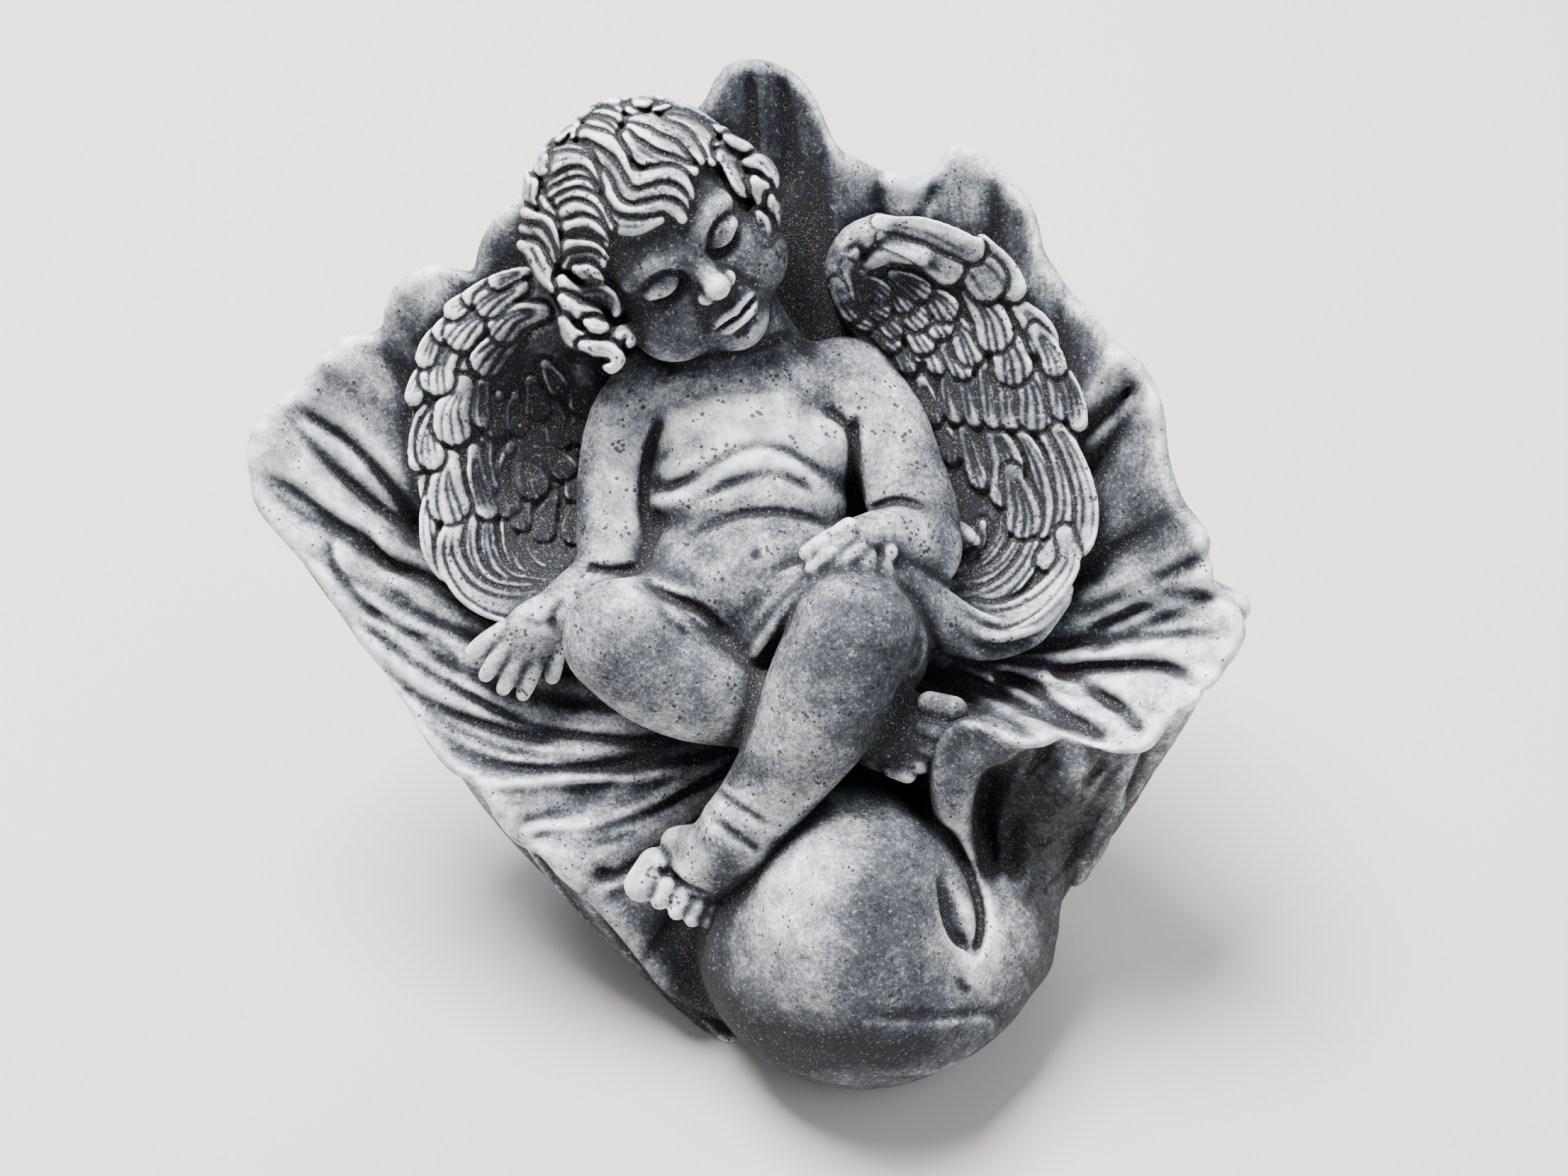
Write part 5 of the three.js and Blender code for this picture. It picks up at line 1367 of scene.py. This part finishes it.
def antiquing():
    """The finish as a node group: a dark wash in the hollows, and a pale dry brushing on what stands out."""
    group = bpy.data.node_groups.get("antiquing")
    if group:
        return group
    group = bpy.data.node_groups.new("antiquing", "ShaderNodeTree")
    for way, kind, names in (("INPUT", "NodeSocketFloat", ("Detail", "Streaks", "Pores")),
                             ("INPUT", "NodeSocketColor", ("Dark", "Wash", "Brush", "Pale", "Dirt")),
                             ("OUTPUT", "NodeSocketColor", ("Colour",)),
                             ("OUTPUT", "NodeSocketFloat", ("Height",))):
        for name in names:
            group.interface.new_socket(name, in_out=way, socket_type=kind)
    t = Tree(group)
    given = t.add("NodeGroupInput").outputs
    place, _ = t.attribute("carved")
    _, hollow = t.attribute("hollow")
    _, tone = t.attribute("tone")
    broad = t.noise(place, 45.0, 4.0, 0.6)
    patch = t.noise(place, 160.0, 4.0, 0.65)
    sand = t.noise(place, 900.0, 3.0, 0.7)
    grit = t.noise(place, 2600.0, 2.0, 0.6)
    out = standing_out(t, given, hollow, tone, (broad, patch, sand, grit))
    # the wash, the dry brushing, the highlights and the warmth
    colour = t.mix(t.ramp(out, -0.62, 0.12), given["Dark"], given["Wash"])
    brush = t.ramp(out, -0.12, 0.62)
    colour = t.mix(brush, colour, given["Brush"])
    pale = t.times(t.ramp(out, 0.30, 0.95), t.ramp(patch, 0.32, 0.62), clamp=True)
    colour = t.mix(pale, colour, given["Pale"])
    warmth = t.times(t.times(tone[0], t.ramp(broad, 0.42, 0.62)), brush)
    colour = t.mix(t.times(warmth, 0.55), colour, (1.0, 0.93, 0.80, 1.0), "MULTIPLY")
    # pale grains, pores, the rough flank and brown crumbs
    colour = t.mix(t.times(t.ramp(sand, 0.60, 0.72), 0.22), colour, given["Pale"])
    dots = t.add("ShaderNodeTexVoronoi", {"Vector": place, "Scale": 620.0, "Randomness": 1.0}).outputs
    size = t.times(t.ramp(t.noise(place, 240.0, 2.0), 0.44, 0.68), t.times(given["Pores"], 0.33))
    pore = t.math("LESS_THAN", dots["Distance"], size)
    colour = t.mix(t.times(pore, 0.85), colour, given["Dark"])
    rough = t.times(tone[1], t.ramp(t.noise(place, 420.0, 5.0, 0.75), 0.42, 0.62))
    colour = t.mix(t.times(rough, 0.75), colour, given["Dirt"])
    crumbs = t.times(t.ramp(grit, 0.58, 0.66), t.ramp(out, -0.35, -0.9))
    colour = t.mix(t.times(crumbs, 0.6), colour, (0.34, 0.29, 0.24, 1.0))
    height = t.math("MULTIPLY_ADD", sand, 0.55, t.times(grit, 0.45))
    height = t.math("MULTIPLY_ADD", pore, -1.6, height)
    height = t.math("MULTIPLY_ADD", rough, 2.5, height)
    t.add("NodeGroupOutput", {"Colour": colour, "Height": height})
    return group


def concrete(name, finish, detail, streaks, pores):
    """Antiqued cast concrete. detail is how far fine relief counts, streaks how far the folds' streaks do."""
    material = bpy.data.materials.new(name)
    material.use_nodes = True
    material.node_tree.nodes.clear()
    t = Tree(material.node_tree)
    values = {"Detail": detail, "Streaks": streaks, "Pores": pores}
    for key in ("dark", "wash", "brush", "pale", "dirt"):
        values[key.capitalize()] = (*getattr(finish, key), 1.0)
    look = t.add("ShaderNodeGroup", node_tree=antiquing())
    for key, value in values.items():
        look.inputs[key].default_value = value
    bumps = t.add("ShaderNodeBump", {"Height": look.outputs["Height"], "Strength": 0.55, "Distance": 0.00035})
    shader = t.add("ShaderNodeBsdfPrincipled", {
        "Base Color": look.outputs["Colour"], "Normal": bumps.outputs["Normal"],
        "Roughness": 0.88, "Specular IOR Level": 0.28})
    t.add("ShaderNodeOutputMaterial", {"Surface": shader.outputs["BSDF"]})
    return material


# ------------------------------------------------------------------------------------------------
# The add-on
# ------------------------------------------------------------------------------------------------
def colour(name, description, default):
    return FloatVectorProperty(name=name, description=description, subtype="COLOR", size=3, min=0, max=1,
                               default=default)


class StatueFinish(PropertyGroup):
    dark: colour("Charcoal wash", "Colour left in the hollows", (0.012, 0.0135, 0.018))
    wash: colour("Grey wash", "Colour of the lower faces", (0.085, 0.092, 0.108))
    brush: colour("Dry brushing", "Colour of what stands out", (0.42, 0.435, 0.46))
    pale: colour("Highlights", "Colour of the highest places", (0.93, 0.945, 0.97))
    dirt: colour("Flank", "Colour of the rough, brushed flank", (0.075, 0.072, 0.068))


class StatueSizes(PropertyGroup):
    detail: FloatProperty(name="Triangles", description="The most triangles in one piece, in thousands",
                          default=190, min=20, max=198)
    floor: FloatProperty(name="Floor", description="Width of the floor", default=9.0, min=1, max=30,
                         unit="LENGTH")


WORK = {}  # the clay of every piece, and what surrounds it


def carve():
    """Sculpts everything once, and works out what is hollow. The operators share the result."""
    if not WORK:
        WORK.update(head=sculpt_head(), shell=sculpt_shell(), body=sculpt_body(),
                    right_wing=sculpt_right_wing(), left_wing=sculpt_left_wing())
        others = [WORK[key] for key in ("body", "head", "right_wing", "left_wing")]
        WORK["around"] = Surroundings(WORK["shell"], others)
    return WORK


def make(context, name, detail, streaks=0.0, pores=1.0, tone=plain_tone, flow=no_flow):
    """Casts the piece of that name and gives it its finish."""
    work = carve()
    limit = context.scene.statue_sizes.detail * 1000 * 1
    piece = cast(name, work[name], work["around"], limit, tone, flow)
    finish = concrete(name + "_finish", context.scene.statue_finish, detail, streaks, pores)
    piece.data.materials.append(finish)
    return {"FINISHED"}


class STATUE_OT_shell(Operator):
    """Casts the ruffled shell with its whorl"""
    bl_idname, bl_label = "statue.shell", "Shell"

    def execute(self, context):
        return make(context, "shell", 1.1, streaks=0.5, pores=0.8, tone=shell_tone, flow=shell_flow)


class STATUE_OT_body(Operator):
    """Casts the child's body and cloth"""
    bl_idname, bl_label = "statue.body", "Body"

    def execute(self, context):
        return make(context, "body", 1.4, pores=1.15, tone=body_tone)


class STATUE_OT_head(Operator):
    """Casts the head with its locks"""
    bl_idname, bl_label = "statue.head", "Head"

    def execute(self, context):
        return make(context, "head", 2.2, pores=1.3)


class STATUE_OT_wings(Operator):
    """Casts both wings"""
    bl_idname, bl_label = "statue.wings", "Wings"

    def execute(self, context):
        make(context, "right_wing", 2.0)
        return make(context, "left_wing", 2.0)


# Each lamp: its place, size, power and tint.
LAMPS = {
    "key": ((-0.35, 0.30, 1.5), 0.7, 92, (1, 0.99, 0.97)),
    "fill": ((0.9, -0.5, 1.0), 1.2, 9, (0.92, 0.96, 1)),
    "back": ((0.3, 1.2, 0.8), 1.0, 16, (0.95, 0.98, 1)),
}


def facing(place, target):
    """The turn of a lamp or camera at a place that looks at a target."""
    return (target - place).to_track_quat("-Z", "Y").to_euler()


class STATUE_OT_stage(Operator):
    """Sets up the floor, the lights and the camera"""
    bl_idname, bl_label = "statue.stage", "Stage"

    def execute(self, context):
        scene = context.scene
        bpy.ops.object.select_all(action="DESELECT")
        bpy.ops.mesh.primitive_plane_add(size=scene.statue_sizes.floor, location=(0, 0, 0))
        floor = context.active_object
        floor.name = "floor"
        material = bpy.data.materials.new("pale_floor")
        material.use_nodes = True
        shader = material.node_tree.nodes["Principled BSDF"]
        shader.inputs["Base Color"].default_value = (0.62, 0.60, 0.57, 1)
        shader.inputs["Roughness"].default_value = 0.9
        floor.data.materials.append(material)
        world = bpy.data.worlds.new("studio")
        world.use_nodes = True
        sky = world.node_tree.nodes["Background"].inputs
        sky["Color"].default_value = (0.90, 0.94, 1.0, 1)
        sky["Strength"].default_value = 0.42
        scene.world = world
        for name, (place, size, power, tint) in LAMPS.items():
            lamp = bpy.data.lights.new(name, "AREA")
            lamp.size, lamp.energy, lamp.color = size, power, tint
            light = bpy.data.objects.new(name, lamp)
            light.location = place
            light.rotation_euler = facing(light.location, Vector((0, 0, 0.10)))
            scene.collection.objects.link(light)
        lens = bpy.data.cameras.new("camera")
        lens.lens, lens.sensor_width, lens.clip_start = 50, 36, 0.01
        camera = bpy.data.objects.new("camera", lens)
        middle = Vector((0, 0, LIFT * MM))
        camera.location = middle + Vector((0, -math.sin(LEAN), math.cos(LEAN))) * VIEWER * MM
        camera.rotation_euler = facing(camera.location, middle)
        scene.collection.objects.link(camera)
        scene.camera = camera
        return {"FINISHED"}


OPERATORS = (STATUE_OT_stage, STATUE_OT_shell, STATUE_OT_body, STATUE_OT_head, STATUE_OT_wings)


class STATUE_PT_panel(Panel):
    """Sizes, colours and the making of each piece"""
    bl_idname, bl_label = "STATUE_PT_panel", "Garden Statue"
    bl_space_type, bl_region_type, bl_category = "VIEW_3D", "UI", "Statue"

    def draw(self, context):
        for settings in (context.scene.statue_sizes, context.scene.statue_finish):
            for name in settings.__annotations__:
                self.layout.prop(settings, name)
        for operator in OPERATORS:
            self.layout.operator(operator.bl_idname)


CLASSES = (StatueFinish, StatueSizes, *OPERATORS, STATUE_PT_panel)


def register():
    for each in CLASSES:
        bpy.utils.register_class(each)
    bpy.types.Scene.statue_finish = PointerProperty(type=StatueFinish)
    bpy.types.Scene.statue_sizes = PointerProperty(type=StatueSizes)


def unregister():
    del bpy.types.Scene.statue_finish, bpy.types.Scene.statue_sizes
    for each in reversed(CLASSES):
        bpy.utils.unregister_class(each)


def main():
    register()
    for operator in OPERATORS:
        group, name = operator.bl_idname.split(".")
        getattr(getattr(bpy.ops, group), name)()
    bpy.ops.object.select_all(action="DESELECT")


if __name__ == "__main__":
    main()
